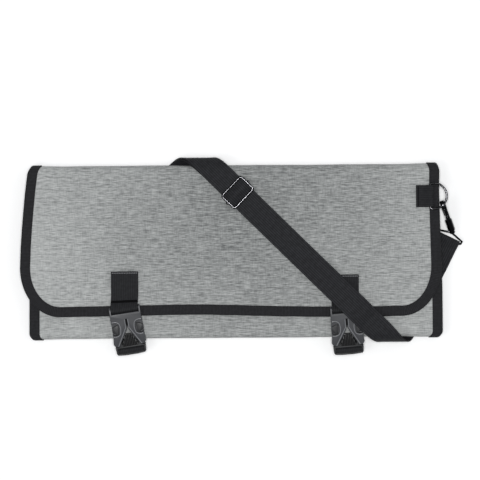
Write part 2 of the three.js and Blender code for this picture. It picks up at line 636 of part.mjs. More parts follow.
// The shoulder strap, from its sewn end at the right eye to the slider's bar
const frontLine = flatLine(ROUTE.lowFront, ROUTE.topFront);
const lineAt = (from, to, y) => from.x + (to.x - from.x) * (y - from.y) / (to.y - from.y);
const frontX = (y) => lineAt(ROUTE.lowFront, ROUTE.topFront, y);
const floorRun = STRAP.thick / 2;
const sliderFrame = flapTop + 2 * layer + CLEAR + SLIDER.wire / 2;
const sliderBar = sliderFrame - SLIDER.barDrop;
const sliderY = halfHeight - SLIDER.down;
const single = flapTop + CLEAR + STRAP.thick / 2;
const double = single + layer;

const frontAcross = vec(-frontLine.y, frontLine.x, 0);
const linkDir = flatLine(ROUTE.topBack, ROUTE.eyeLeft);
const linkAcross = vec(linkDir.y, -linkDir.x, 0);
const linkAt = vec(ROUTE.eyeLeft.x, ROUTE.eyeLeft.y, STRAP.thick + CLEAR + LINK.bar / 2);
const linkRadius = LINK.bar / 2 + CLEAR + STRAP.thick / 2;
const linkBeyond = LINK.barWide / 2 + CLEAR;

// Heights of the strap's middle on its way up over the right buckle: distance above the flap's end,
// and share of the rise
const OVER_BUCKLE = [
  { up: 1, share: 0.85 }, { up: 10, share: 1 }, { up: 19, share: 1 }, { up: 30, share: 0.8 },
  { up: 45, share: 0.47 }, { up: 64, share: 0.14 }, { up: 82, share: 0 },
];
const buckleTop = barHeight + BUCKLE.thickUp + 4 * CLEAR + STRAP.thick / 2;

/** Lines across the strap, bent slantwise round a long edge: drawn on the flat, then rolled up. */
function wrapLines({ middle, out, high, low, xHigh, xLow, slopeHigh, slopeLow }) {
  const inside = -Math.sign(out);
  const pieces = 48;
  const bend = Array.from({ length: pieces + 1 }, (_, i) => {
    const turn = Math.PI * i / pieces;
    return vec(0, middle + out * Math.sin(turn), (high + low) / 2 + (high - low) / 2 * Math.cos(turn));
  });
  const reach = [0];
  for (let i = 1; i <= pieces; i += 1) reach.push(reach[i - 1] + bend[i].distanceTo(bend[i - 1]));
  const long = reach[pieces];
  const rolled = (x, place) => {
    if (place <= 0) return vec(x, middle - inside * place, high);
    if (place >= long) return vec(x, middle + inside * (place - long), low);
    const i = reach.findIndex((value) => value > place);
    return bend[i - 1].clone().lerp(bend[i], (place - reach[i - 1]) / (reach[i] - reach[i - 1])).setX(x);
  };
  const mean = (xLow - xHigh) / long;
  const centre = (place) => {
    if (place <= 0) return [xHigh + slopeHigh * place, slopeHigh];
    if (place >= long) return [xLow + slopeLow * (place - long), slopeLow];
    const t = place / long;
    const ends = slopeHigh * t * (1 - t) ** 2 - slopeLow * t * t * (1 - t);
    const x = xHigh + long * (mean * t * t * (3 - 2 * t) + ends);
    const slope = 6 * mean * t * (1 - t) + slopeHigh * (1 - t) * (1 - 3 * t) + slopeLow * t * (3 * t - 2);
    return [x, slope];
  };
  const lead = STRAP.wide * 0.4;
  return Array.from({ length: WRAP.steps + 1 }, (_, i) => {
    const place = -lead + (long + 2 * lead) * i / WRAP.steps;
    const [x, slope] = centre(place);
    const size = Math.hypot(slope, 1);
    return Array.from({ length: STRAP.columns }, (_, k) => {
      const off = STRAP.wide * (k / (STRAP.columns - 1) - 0.5) / size;
      return rolled(x - off, place + off * slope);
    });
  });
}

function shoulderStrap() {
  const fixed = (across) => (centre) => acrossLine(centre, across, STRAP.wide, STRAP.columns);
  const eyeRadius = HOOK.eyeWire / 2 + CLEAR + STRAP.thick / 2;
  const along = (start, dir, distance, z) => start.clone().addScaledVector(dir, distance).setZ(z);
  const tail = [WRAP.tail, 9].map((distance) => along(eyeAt, leaving, distance, floorRun + layer));
  const eyeTurn = arc(eyeAt, leaving, UP, eyeRadius, 62, 270, 12);
  const rightRun = [along(eyeAt, leaving, 30, floorRun), along(eyeAt, leaving, 70, floorRun)];
  const lean = (from, to) => (to.x - from.x) / (to.y - from.y);
  const low = wrapLines({
    middle: lowMiddle, out: -WRAP.lowOut, high: WRAP.lowTop, low: floorRun,
    xHigh: frontX(lowMiddle), xLow: lineAt(ROUTE.lowBack, ROUTE.eyeRight, lowMiddle),
    slopeHigh: -lean(ROUTE.lowFront, ROUTE.topFront),
    slopeLow: lean(ROUTE.lowBack, ROUTE.eyeRight),
  }).reverse();
  const rise = OVER_BUCKLE.map(({ up, share }) => (
    vec(frontX(flapEnd + up), flapEnd + up, single + (buckleTop - single) * share)
  ));
  const onFront = (u, z) => vec(frontX(sliderY), sliderY, z).addScaledVector(frontLine, u);
  const crown = SLIDER.wire / 2 + layer + CLEAR + STRAP.thick / 2;
  const bars = SLIDER.deep / 2 - SLIDER.wire / 2;
  const hump = arc(vec(0, 0, sliderBar), vec(1, 0, 0), UP, crown, 118, 62, 4).map((p) => onFront(-p.x, p.z));
  const over = [
    onFront(-bars - 8, single), onFront(-bars - 1, single + 0.6), onFront(-bars + 1.4, double - 0.4),
    ...hump.reverse(), onFront(bars - 1.4, double), onFront(bars + 2, double),
  ];
  const topWrap = {
    middle: topMiddle, xHigh: frontX(topMiddle),
    xLow: lineAt(ROUTE.topBack, ROUTE.eyeLeft, topMiddle),
    slopeHigh: lean(ROUTE.lowFront, ROUTE.topFront),
    slopeLow: -lean(ROUTE.topBack, ROUTE.eyeLeft),
  };
  const top = wrapLines({ ...topWrap, out: WRAP.topOut, high: double, low: floorRun });
  const inner = wrapLines({
    ...topWrap, out: WRAP.topOut - layer - 0.1, high: single, low: floorRun + layer,
  }).reverse();
  const linkTurn = arc(along(linkAt, linkDir, linkBeyond, linkAt.z), linkDir, UP, linkRadius, -90, 90, 8);
  const leftRun = [along(linkAt, linkDir, -60, floorRun), along(linkAt, linkDir, -16, floorRun)];
  const back = [
    along(linkAt, linkDir, -3, linkAt.z + linkRadius), along(linkAt, linkDir, -14, floorRun + layer),
    along(linkAt, linkDir, -60, floorRun + layer),
  ];
  const loop = SLIDER.wire / 2 + CLEAR + STRAP.thick / 2;
  const sliderLoop = arc(vec(0, 0, sliderBar), vec(-1, 0, 0), UP, loop, -90, 110, 12)
    .map((p) => onFront(p.x, p.z));
  const last = [onFront(bars + 3, single), onFront(4, single + 0.1)];
  const tip = [onFront(4.6, sliderBar + 0.9)];
  return band([
    ...[...tail, ...eyeTurn, ...rightRun].map(fixed(eyeAcross)),
    ...low,
    ...[...rise, ...over].map(fixed(frontAcross)),
    ...top,
    ...[...leftRun, ...linkTurn, ...back].map(fixed(linkAcross)),
    ...inner,
    ...[...last, ...sliderLoop, ...tip].map(fixed(frontAcross)),
  ], STRAP.thick);
}

/** The slider: a wire frame over the strap, and a bar under its middle that holds the strap's end. */
function strapSlider() {
  const wide = STRAP.wide + 2 * SLIDER.play + SLIDER.wire;
  const radius = SLIDER.wire / 2;
  const frame = wireLoop(roundedPath(wide, SLIDER.deep - SLIDER.wire, 2.6), radius);
  const bar = crossBar(radius, -wide / 2, wide / 2, 0, -SLIDER.barDrop, 10);
  const knobs = [-1, 1].map((sign) => new THREE.SphereGeometry(SLIDER.knob, 10, 8)
    .translate(sign * (wide / 2 + radius), 0, -SLIDER.barDrop / 2));
  return carve([frame, bar, ...knobs]);
}

/** The hidden left link: a flat frame between the strap's turn and the tab under the back. */
function strapLink() {
  const half = STRAP.wide / 2 + SLIDER.play;
  const out = half + LINK.barWide;
  const first = -LINK.barWide / 2;
  const frame = slab([[-out, first], [out, first], [out, first + LINK.long], [-out, first + LINK.long]],
    -LINK.bar / 2, LINK.bar / 2);
  const [from, to] = [first + LINK.barWide, first + LINK.long - LINK.barWide];
  const hole = block(-half, half, from, to, -LINK.bar, LINK.bar);
  return carve([frame], [hole]);
}

function linkTab() {
  const far = LINK.long - LINK.barWide;
  const at = (distance, z) => linkAt.clone().addScaledVector(linkDir, distance).setZ(z);
  const turn = arc(at(far - linkBeyond, linkAt.z), linkDir, UP, linkRadius, 90, 270, 8);
  const high = linkAt.z + linkRadius;
  return band([at(far + LINK.tabLong, high), ...turn, at(far + LINK.tabBack, floorRun)]
    .map((centre) => acrossLine(centre, linkAcross, RING.tabWide)), STRAP.thick);
}

add('shoulder_strap', shoulderStrap(), MATERIAL.webbing);
const slider = add('strap_slider', strapSlider(), MATERIAL.metal);
slider.position.set(frontX(sliderY), sliderY, sliderFrame);
slider.rotation.z = Math.atan2(-frontLine.x, frontLine.y);
const link = add('strap_link_left', strapLink(), MATERIAL.metal);
link.position.copy(linkAt);
link.rotation.z = Math.atan2(-linkDir.x, linkDir.y);
add('link_tab_left', linkTab(), MATERIAL.webbing);

roll.updateMatrixWorld(true);
const bounds = new THREE.Box3().setFromObject(roll, true);
const middle = bounds.getCenter(new THREE.Vector3());
const part = new THREE.Group();
roll.position.set(-middle.x, -middle.y, -bounds.min.z);
part.add(roll);
part.updateMatrixWorld(true);

export default part;
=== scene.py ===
"""Looks of a chef knife roll: canvas, tape, webbing, buckles, a strap and black fittings."""
import logging
import math
from dataclasses import dataclass, field
from enum import Enum
from functools import cache
from typing import Any, Iterable, Optional

import bmesh
import bpy
from mathutils import Matrix, Vector, noise


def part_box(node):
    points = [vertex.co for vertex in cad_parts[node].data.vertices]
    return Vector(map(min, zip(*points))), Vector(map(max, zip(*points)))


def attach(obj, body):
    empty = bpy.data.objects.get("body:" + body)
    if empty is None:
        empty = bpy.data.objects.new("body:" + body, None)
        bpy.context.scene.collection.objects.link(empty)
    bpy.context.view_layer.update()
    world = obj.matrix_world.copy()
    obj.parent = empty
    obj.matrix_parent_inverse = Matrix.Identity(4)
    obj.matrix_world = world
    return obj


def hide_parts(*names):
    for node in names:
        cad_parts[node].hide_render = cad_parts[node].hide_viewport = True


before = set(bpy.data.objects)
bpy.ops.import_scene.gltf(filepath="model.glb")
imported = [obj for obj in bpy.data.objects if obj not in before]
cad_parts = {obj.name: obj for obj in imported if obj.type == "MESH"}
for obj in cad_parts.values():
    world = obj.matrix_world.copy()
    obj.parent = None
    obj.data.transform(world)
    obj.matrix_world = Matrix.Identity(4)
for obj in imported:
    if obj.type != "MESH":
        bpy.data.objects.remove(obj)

Tree = bpy.types.NodeTree
Node = bpy.types.Node
Socket = bpy.types.NodeSocket
Vert = bmesh.types.BMVert
Mesh = bmesh.types.BMesh
Piece = bpy.types.Object
Pair = tuple[float, float]

log = logging.getLogger("knife_roll")
MM = 0.001
UV_NAME = "cloth"
# A wave texture of this scale makes one cycle for each unit of its coordinates
ONE_CYCLE = math.pi / 10
# A noise seldom leaves this range
NOISE_RANGE = (0.3, 0.7)
# Noises that change once in a unit, by their detail: soft clouds, moulded skin, plate and fibres
SOFT, SKIN, PLATE, FIBRES = (
    {"Scale": 1.0, "Detail": detail, "Roughness": rough}
    for detail, rough in ((1.0, 0.5), (2.0, 0.5), (4.0, 0.5), (3.0, 0.6)))
# How finely a wire is drawn round its section, and along each of its bends
WIRE_ROUND, WIRE_BEND = 3, 6
# Corners nearer than this are one: on a CAD mesh, and on the swept tape
CAD_WELD, TAPE_WELD = 0.004 * MM, 0.01 * MM
# Faces of tape and wire that meet at more than this angle in degrees keep their edge
HARD_EDGE = 50.0


class Rides(Enum):
    """The moving bodies that a piece can ride on."""

    BAG = "bag"
    GATE = "hook_gate"


class Side(Enum):
    """The two sides of the roll, seen from above."""

    LEFT = "left"
    RIGHT = "right"


def linear(colour: str) -> tuple[float, float, float, float]:
    """Turns an sRGB hex colour to linear values.

    Args:
        colour: Six hex digits, such as "969897".

    Returns:
        Linear red, green, blue and an alpha of one.
    """
    parts = [int(colour[i:i + 2], 16) / 255 for i in (0, 2, 4)]
    red, green, blue = (p / 12.92 if p <= 0.04045 else ((p + 0.055) / 1.055) ** 2.4 for p in parts)
    return red, green, blue, 1.0


def add_node(tree: Tree, kind: str, inputs: Any = (), output: Any = 0,
             to: Optional[Socket] = None, **settings: Any) -> Socket:
    """Adds a shader node with its settings, values and links.

    Args:
        tree: The material's node tree.
        kind: The node's type name.
        inputs: Values or the outputs that feed it, by the inputs' names or in their order.
        output: The name or number of the output that is used.
        to: The input that this output feeds.
        **settings: The node's own properties.

    Returns:
        The output.
    """
    node = tree.nodes.new(kind)
    for name, value in settings.items():
        setattr(node, name, value)
    for name, value in inputs.items() if isinstance(inputs, dict) else enumerate(inputs):
        if isinstance(value, Socket):
            tree.links.new(value, node.inputs[name])
        else:
            node.inputs[name].default_value = value
    if to is not None:
        tree.links.new(node.outputs[output], to)
    return node.outputs[output]


@dataclass(frozen=True)
class Finish:
    """A surface finish. Its colours are sRGB hex, its lengths are in metres.

    The sheen is its weight and its roughness, and the bite is how strongly the relief shows.
    """

    name: str
    base: str
    roughness: float
    gloss: float = 0.5
    sheen: Pair = (0.0, 0.5)
    bite: float = 0.5

    @cache
    def material(self) -> bpy.types.Material:
        """Returns the finish as a material, made once and shared after that."""
        made = bpy.data.materials.new(self.name)
        made.use_nodes = True
        shader = made.node_tree.nodes["Principled BSDF"]
        for name, value in (("Base Color", linear(self.base)), ("Roughness", self.roughness),
                            ("Specular IOR Level", self.gloss), ("Sheen Weight", self.sheen[0]),
                            ("Sheen Roughness", self.sheen[1])):
            shader.inputs[name].default_value = value
        self.dress(made.node_tree, shader)
        return made

    def dress(self, tree: Tree, shader: Node) -> None:
        """Adds the finish's own pattern to the shader."""

    @staticmethod
    def cloth_place(tree: Tree, long: float, high: float) -> Socket:
        """Returns the cloth's own coordinates, counted in a pattern's length along U and V."""
        place = add_node(tree, "ShaderNodeUVMap", output="UV", uv_map=UV_NAME)
        return add_node(tree, "ShaderNodeMapping",
                        {"Vector": place, "Scale": (1 / long, 1 / high, 1.0)})

    @staticmethod
    def solid_place(tree: Tree, pitch: float) -> Socket:
        """Returns object coordinates, counted in a pattern's pitch."""
        place = add_node(tree, "ShaderNodeTexCoord", output="Object")
        return add_node(tree, "ShaderNodeMapping", {"Vector": place, "Scale": (1 / pitch,) * 3})


@dataclass(frozen=True)
class HeatherCanvas(Finish):
    """Coated polyester canvas in plain weave, its weft spun from light and dark fibres.

    The mixed weft gives short level streaks of lighter and darker grey, and the coated back keeps
    it flat. Its colour is painted paler towards the roll's ends than in its middle: painted light.
    """

    dark: str = "5c5e5e"
    light: str = "c0c2c1"
    streak: Pair = (9.0 * MM, 1.1 * MM)
    slub: Pair = (30.0 * MM, 2.2 * MM)
    slub_share: float = 0.25
    upright: Pair = (1.4 * MM, 9.0 * MM)
    upright_share: float = 0.15
    yarn_range: Pair = (0.34, 0.66)
    mixture: float = 0.36
    cloud: Pair = (110.0 * MM, 110.0 * MM)
    cloud_tone: float = 0.04
    # Painted light: out from this middle to this reach, the colour is painted paler by this range
    middle: Pair = (13.0 * MM, 66.0 * MM)
    reach: float = 260.0 * MM
    pale: Pair = (0.16, 0.52)
    # The real threads are 0.5 mm apart, drawn at twice that so that they show
    thread: float = 1.0 * MM
    thread_sway: float = 0.6
    relief: float = 0.1 * MM
    yarn_relief: float = 0.45

    def dress(self, tree: Tree, shader: Node) -> None:
        """Mixes the yarn colours by streaks and raises the weave.

        Args:
            tree: The material's node tree.
            shader: Its shader.
        """
        yarn, slub, upright, cloud = (
            add_node(tree, "ShaderNodeTexNoise",
                     {"Vector": self.cloth_place(tree, *size), **detail})
            for size, detail in ((self.streak, FIBRES), (self.slub, SOFT), (self.upright, SOFT),
                                 (self.cloud, SOFT)))
        for other, share in ((slub, self.slub_share), (upright, self.upright_share)):
            yarn = add_node(tree, "ShaderNodeMix", {"Factor": share, "A": yarn, "B": other})
        tone = add_node(tree, "ShaderNodeMapRange",
                        [cloud, *NOISE_RANGE, -self.cloud_tone, self.cloud_tone])
        # Painted light: the colour is painted paler away from the roll's middle
        away = add_node(tree, "ShaderNodeMapRange", [self.away(tree), 0.0, 1.0, *self.pale])
        mixed = add_node(tree, "ShaderNodeMapRange",
                         [yarn, *self.yarn_range, -self.mixture, self.mixture])
        for other in (away, mixed):
            tone = add_node(tree, "ShaderNodeMath", [tone, other], operation="ADD", use_clamp=True)
        add_node(tree, "ShaderNodeMix",
                 {"Factor": tone, "A": linear(self.dark), "B": linear(self.light)}, "Result",
                 shader.inputs["Base Color"], data_type="RGBA")
        place = self.cloth_place(tree, self.thread, self.thread)
        threads = [add_node(tree, "ShaderNodeTexWave",
                            {"Vector": place, "Scale": ONE_CYCLE, "Distortion": self.thread_sway,
                             "Detail": 1.0}, "Fac", bands_direction=way) for way in "YX"]
        weave = add_node(tree, "ShaderNodeMath", threads, operation="MULTIPLY")
        height = add_node(tree, "ShaderNodeMix",
                          {"Factor": self.yarn_relief, "A": weave, "B": yarn})
        add_node(tree, "ShaderNodeBump",
                 {"Height": height, "Strength": self.bite, "Distance": self.relief},
                 to=shader.inputs["Normal"])

    def away(self, tree: Tree) -> Socket:
        """Measures the distance from the roll's middle, which sets the painted light on the ends.

        Args:
            tree: The material's node tree.

        Returns:
            The distance, counted in the reach of the painted light.
        """
        place = add_node(tree, "ShaderNodeTexCoord", output="Object")
        inputs = {"Vector": place, "Scale": (1 / self.reach, 1 / self.reach, 0.0),
                  "Location": (-self.middle[0] / self.reach, -self.middle[1] / self.reach, 0.0)}
        moved = add_node(tree, "ShaderNodeMapping", inputs)
        return add_node(tree, "ShaderNodeVectorMath", [moved], "Value", operation="LENGTH")


@dataclass(frozen=True)
class Webbing(Finish):
    """Polyester webbing, woven with cords along its length and a thin weft between them.

    The cords stand up as fine ribs; their tops are painted lighter, a painted highlight.
    """

    sheen: Pair = (0.01, 0.45)
    bite: float = 0.7
    # The colour of the painted highlight on the raised ribs
    light: str = "303134"
    # The real cords are about 0.9 mm apart, drawn wider so that they show
    rib: float = 2.5 * MM
    rib_sway: float = 0.3
    tick: float = 1.5 * MM
    tick_sway: float = 0.8
    tick_share: float = 0.35
    # How strongly the painted highlight shows, varied at random along the band
    rib_highlight_strength: Pair = (0.5, 1.3)
    relief: float = 0.25 * MM
    along_v: bool = True

    def dress(self, tree: Tree, shader: Node) -> None:
        """Draws the ribs and the weft's small ticks between them, their tops painted lighter as a
        painted highlight.

        Args:
            tree: The material's node tree.
            shader: Its shader.
        """
        across, along = ("X", "Y") if self.along_v else ("Y", "X")
        pitch = (self.rib, self.tick) if self.along_v else (self.tick, self.rib)
        place = self.cloth_place(tree, *pitch)
        ribs, ticks = (
            add_node(tree, "ShaderNodeTexWave",
                     {"Vector": place, "Scale": ONE_CYCLE, "Distortion": sway, "Detail": 1.0},
                     "Fac", bands_direction=way)
            for way, sway in ((across, self.rib_sway), (along, self.tick_sway)))
        height = add_node(tree, "ShaderNodeMix",
                          {"Factor": self.tick_share, "A": ribs, "B": ticks})
        grain = add_node(tree, "ShaderNodeTexNoise",
                         {"Vector": self.cloth_place(tree, 2 * self.rib, 2 * self.rib), **FIBRES})
        rib_highlight_strength = add_node(tree, "ShaderNodeMapRange", [grain, *NOISE_RANGE, *self.rib_highlight_strength])
        share = add_node(tree, "ShaderNodeMath", [height, rib_highlight_strength], operation="MULTIPLY")
        # Painted highlight: the raised ribs and ticks are painted lighter
        add_node(tree, "ShaderNodeMix",
                 {"Factor": share, "A": linear(self.base), "B": linear(self.light)}, "Result",
                 shader.inputs["Base Color"], data_type="RGBA")
        add_node(tree, "ShaderNodeBump",
                 {"Height": height, "Strength": self.bite, "Distance": self.relief},
                 to=shader.inputs["Normal"])


@dataclass(frozen=True)
class MouldedPlastic(Finish):
    """Injection moulded acetal with a fine spark-eroded skin, which spreads its highlights."""

    grain: float = 0.5 * MM
    relief: float = 0.03 * MM
    cloud: float = 9.0 * MM
    uneven: float = 0.08

    def dress(self, tree: Tree, shader: Node) -> None:
        """Adds the mould's grain and a slight unevenness of gloss.

        Args:
            tree: The material's node tree.
            shader: Its shader.
        """
        cloud, grain = (
            add_node(tree, "ShaderNodeTexNoise", {"Vector": self.solid_place(tree, size), **SKIN})
            for size in (self.cloud, self.grain))
        ends = (self.roughness - self.uneven, self.roughness + self.uneven)
        add_node(tree, "ShaderNodeMapRange", [cloud, *NOISE_RANGE, *ends],
                 to=shader.inputs["Roughness"])
        add_node(tree, "ShaderNodeBump",
                 {"Height": grain, "Strength": self.bite, "Distance": self.relief},
                 to=shader.inputs["Normal"])


@dataclass(frozen=True)
class BlackenedSteel(Finish):
    """Steel wire and zinc castings under a glossy black electroplate, with a painted highlight on
    top.
    """

    # Painted highlight: its colour, and how straight up a surface must face to get it
    painted_highlight_colour: str = "4b4b4d"
    lit_top: Pair = (0.9, 0.99)
    patch: float = 3.0 * MM
    patch_range: Pair = (0.3, 0.8)
    uneven: float = 0.1

    def dress(self, tree: Tree, shader: Node) -> None:
        """Adds a painted highlight where the plate faces up, and an uneven gloss to the plate.

        Args:
            tree: The material's node tree.
            shader: Its shader.
        """
        # Painted highlight: surfaces that face up are painted lighter
        normal = add_node(tree, "ShaderNodeTexCoord", output="Normal")
        facing = add_node(tree, "ShaderNodeSeparateXYZ", [normal], "Z")
        lit_top = add_node(tree, "ShaderNodeMapRange", [facing, *self.lit_top, 0.0, 1.0])
        add_node(tree, "ShaderNodeMix",
                 {"Factor": lit_top, "A": linear(self.base), "B": linear(self.painted_highlight_colour)}, "Result",
                 shader.inputs["Base Color"], data_type="RGBA")
        patch = add_node(tree, "ShaderNodeTexNoise",
                         {"Vector": self.solid_place(tree, self.patch), **PLATE})
        ends = (self.roughness, self.roughness + self.uneven)
        add_node(tree, "ShaderNodeMapRange", [patch, *self.patch_range, *ends],
                 to=shader.inputs["Roughness"])
        shader.inputs["Metallic"].default_value = 1.0


@dataclass(frozen=True)
class Thread(Finish):
    """Bonded polyester sewing thread, two strands laid together."""

    twist: float = 0.6 * MM
    relief: float = 0.05 * MM

    def dress(self, tree: Tree, shader: Node) -> None:
        """Adds the two strands' twist as fine relief.

        Args:
            tree: The material's node tree.
            shader: Its shader.
        """
        lay = add_node(tree, "ShaderNodeTexNoise",
                       {"Vector": self.solid_place(tree, self.twist), **SOFT})
        add_node(tree, "ShaderNodeBump",
                 {"Height": lay, "Strength": self.bite, "Distance": self.relief},
                 to=shader.inputs["Normal"])


CANVAS = HeatherCanvas("heather_canvas", "8e908f", 0.92, 0.2, sheen=(0.06, 0.6))
# Each webbing's light colour is the painted highlight on its raised ribs
TAPE = Webbing("edge_tape", "161617", 0.88, 0.15, light="2b2b2e", rib=1.7 * MM,
               relief=0.16 * MM, along_v=False)
STRAP = Webbing("ribbed_strap", "0e0e10", 0.74, 0.15, light="2b2c2f")
TAB = Webbing("tab_webbing", "131315", 0.78, 0.15, light="27282a", rib=2.1 * MM,
              relief=0.18 * MM)
SOCKET = MouldedPlastic("moulded_socket", "393a3d", 0.42, 0.4)
# Painted highlight: the socket's plastic painted lighter, for its raised rims
PAINTED_HIGHLIGHT_RIDGE = MouldedPlastic("ridge_painted_highlight", "6e6f72", 0.3, 0.55)
PLUG = MouldedPlastic("moulded_plug", "1d1e20", 0.46, 0.35)
# Painted shade: the plug's plastic darkened, for its ribs and the rail down in the slot
PLUG_IN_PAINTED_SHADE = MouldedPlastic("plug_painted_shade", "0b0b0c", 0.62, 0.2)
STEEL = BlackenedSteel("black_plated_steel", "1c1d1f", 0.12)
DARK_THREAD = Thread("dark_thread", "19191b", 0.7, 0.2)
# Black thread. Its dense rows across the flap tabs' creases are partly real tack stitching and
# partly painted shade in the creases
BLACK_THREAD = Thread("black_thread", "050506", 0.8, 0.1)
PALE_THREAD = Thread("pale_thread", "8c8d90", 0.7, 0.3)
FLOOR = Finish("pale_floor", "f6f6f6", 0.9, 0.1)
# How far each buckle is turned on the flap, in degrees
BUCKLE_TILTS = {Side.LEFT: 8.5, Side.RIGHT: 4.5}


def merged(node: str) -> Mesh:
    """Copies a CAD node's mesh and joins its loose triangles at their corners.

    Args:
        node: The CAD node.

    Returns:
        The joined copy.
    """
    bm = bmesh.new()
    bm.from_mesh(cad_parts[node].data)
    bmesh.ops.remove_doubles(bm, verts=bm.verts, dist=CAD_WELD)
    return bm


def place_piece(name: str, bm: Mesh, finish: Finish, nodes: Iterable[str] = (),
                rides: Rides = Rides.BAG) -> Piece:
    """Makes a finished mesh into a piece of the roll.

    Args:
        name: The piece's name.
        bm: Its mesh, freed afterwards.
        finish: Its surface finish.
        nodes: The CAD nodes that it stands for.
        rides: The body that it moves with.

    Returns:
        The new object.
    """
    mesh = bpy.data.meshes.new(name)
    bm.to_mesh(mesh)
    bm.free()
    piece = bpy.data.objects.new(name, mesh)
    bpy.context.scene.collection.objects.link(piece)
    mesh.materials.append(finish.material())
    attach(piece, rides.value)
    if nodes:
        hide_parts(*nodes)
    log.info("%s: %d faces", name, len(mesh.polygons))
    return piece


def soften(piece: Piece, subdivide: int = 0, thickness: float = 0.0, rim: float = 0.0,
           rim_angle: float = 40.0) -> None:
    """Adds the modifiers that finish a piece.

    Args:
        piece: The piece.
        subdivide: How often it is subdivided.
        thickness: The wall that it gets, half on each side.
        rim: The width of its rounded edges.
        rim_angle: The angle in degrees past which an edge is rounded.
    """
    if subdivide:
        smooth = piece.modifiers.new("smooth", "SUBSURF")
        smooth.levels = smooth.render_levels = subdivide
        smooth.boundary_smooth = "PRESERVE_CORNERS"
    if thickness:
        wall = piece.modifiers.new("wall", "SOLIDIFY")
        wall.thickness = thickness
        wall.offset = 0.0
    if rim:
        edge = piece.modifiers.new("rim", "BEVEL")
        edge.width = rim
        edge.segments = 2
        edge.limit_method = "ANGLE"
        edge.angle_limit = math.radians(rim_angle)


def shade(bm: Mesh, angle: float = 180.0) -> None:
    """Shades a mesh smooth, with hard edges where its faces meet sharply.

    Args:
        bm: The mesh.
        angle: The angle in degrees past which an edge is hard.
    """
    for face in bm.faces:
        face.smooth = True
    for edge in bm.edges:
        edge.smooth = len(edge.link_faces) != 2 or edge.calc_face_angle(0) < math.radians(angle)


def surface_through(lines: list[list[Vector]], places: list[list[Pair]]) -> Mesh:
    """Shapes a grid into the surface through lines of points.

    Args:
        lines: The lines across the surface, each of as many points.
        places: The cloth coordinates of every point, kept as the surface's UV map.

    Returns:
        The surface.
    """
    bm = bmesh.new()
    layer = bm.loops.layers.uv.new(UV_NAME)
    columns = len(lines[0])
    bmesh.ops.create_grid(bm, x_segments=columns - 1, y_segments=len(lines) - 1, size=1)
    bm.verts.index_update()
    for vert in bm.verts:
        row, column = divmod(vert.index, columns)
        vert.co = lines[row][column]
        for loop in vert.link_loops:
            loop[layer].uv = places[row][column]
    return bm


def refine(lines: list[list[Vector]], step: float) -> list[list[Vector]]:
    """Puts extra lines between lines that lie further apart than a step.

    Args:
        lines: The lines, each of as many points.
        step: How far apart they may lie.

    Returns:
        The old and new lines, in order.
    """
    out = [lines[0]]
    for before, after in zip(lines, lines[1:]):
        gap = max((a - b).length for a, b in zip(before, after))
        parts = max(1, math.ceil(gap / step))
        for i in range(1, parts + 1):
            out.append([a.lerp(b, i / parts) for a, b in zip(before, after)])
    return out


def eased(share: float) -> float:
    """Turns a share from nought to one into one that starts and ends slowly."""
    return share * share * (3 - 2 * share)


def add_wire(bm: Mesh, points: list[Vector], radius: float, closed: bool = False,
             curved: bool = True) -> None:
    """Adds a round wire to a mesh.

    Args:
        bm: The mesh.
        points: The wire's middle line.
        radius: The wire's radius.
        closed: Whether it comes back to its start.
        curved: Whether it runs smoothly through its points.
    """
    curve = bpy.data.curves.new("wire", "CURVE")
    curve.dimensions = "3D"
    curve.bevel_depth = radius
    curve.bevel_resolution = WIRE_ROUND
    curve.resolution_u = WIRE_BEND
    curve.use_fill_caps = True
    spline = curve.splines.new("BEZIER")
    spline.bezier_points.add(len(points) - 1)
    for knot, point in zip(spline.bezier_points, points):
        knot.co = point
        knot.handle_left_type = knot.handle_right_type = "AUTO" if curved else "VECTOR"
    spline.use_cyclic_u = closed
    holder = bpy.data.objects.new("wire", curve)
    mesh = bpy.data.meshes.new_from_object(holder)
    bm.from_mesh(mesh)
    bpy.data.objects.remove(holder)
    bpy.data.curves.remove(curve)
    bpy.data.meshes.remove(mesh)


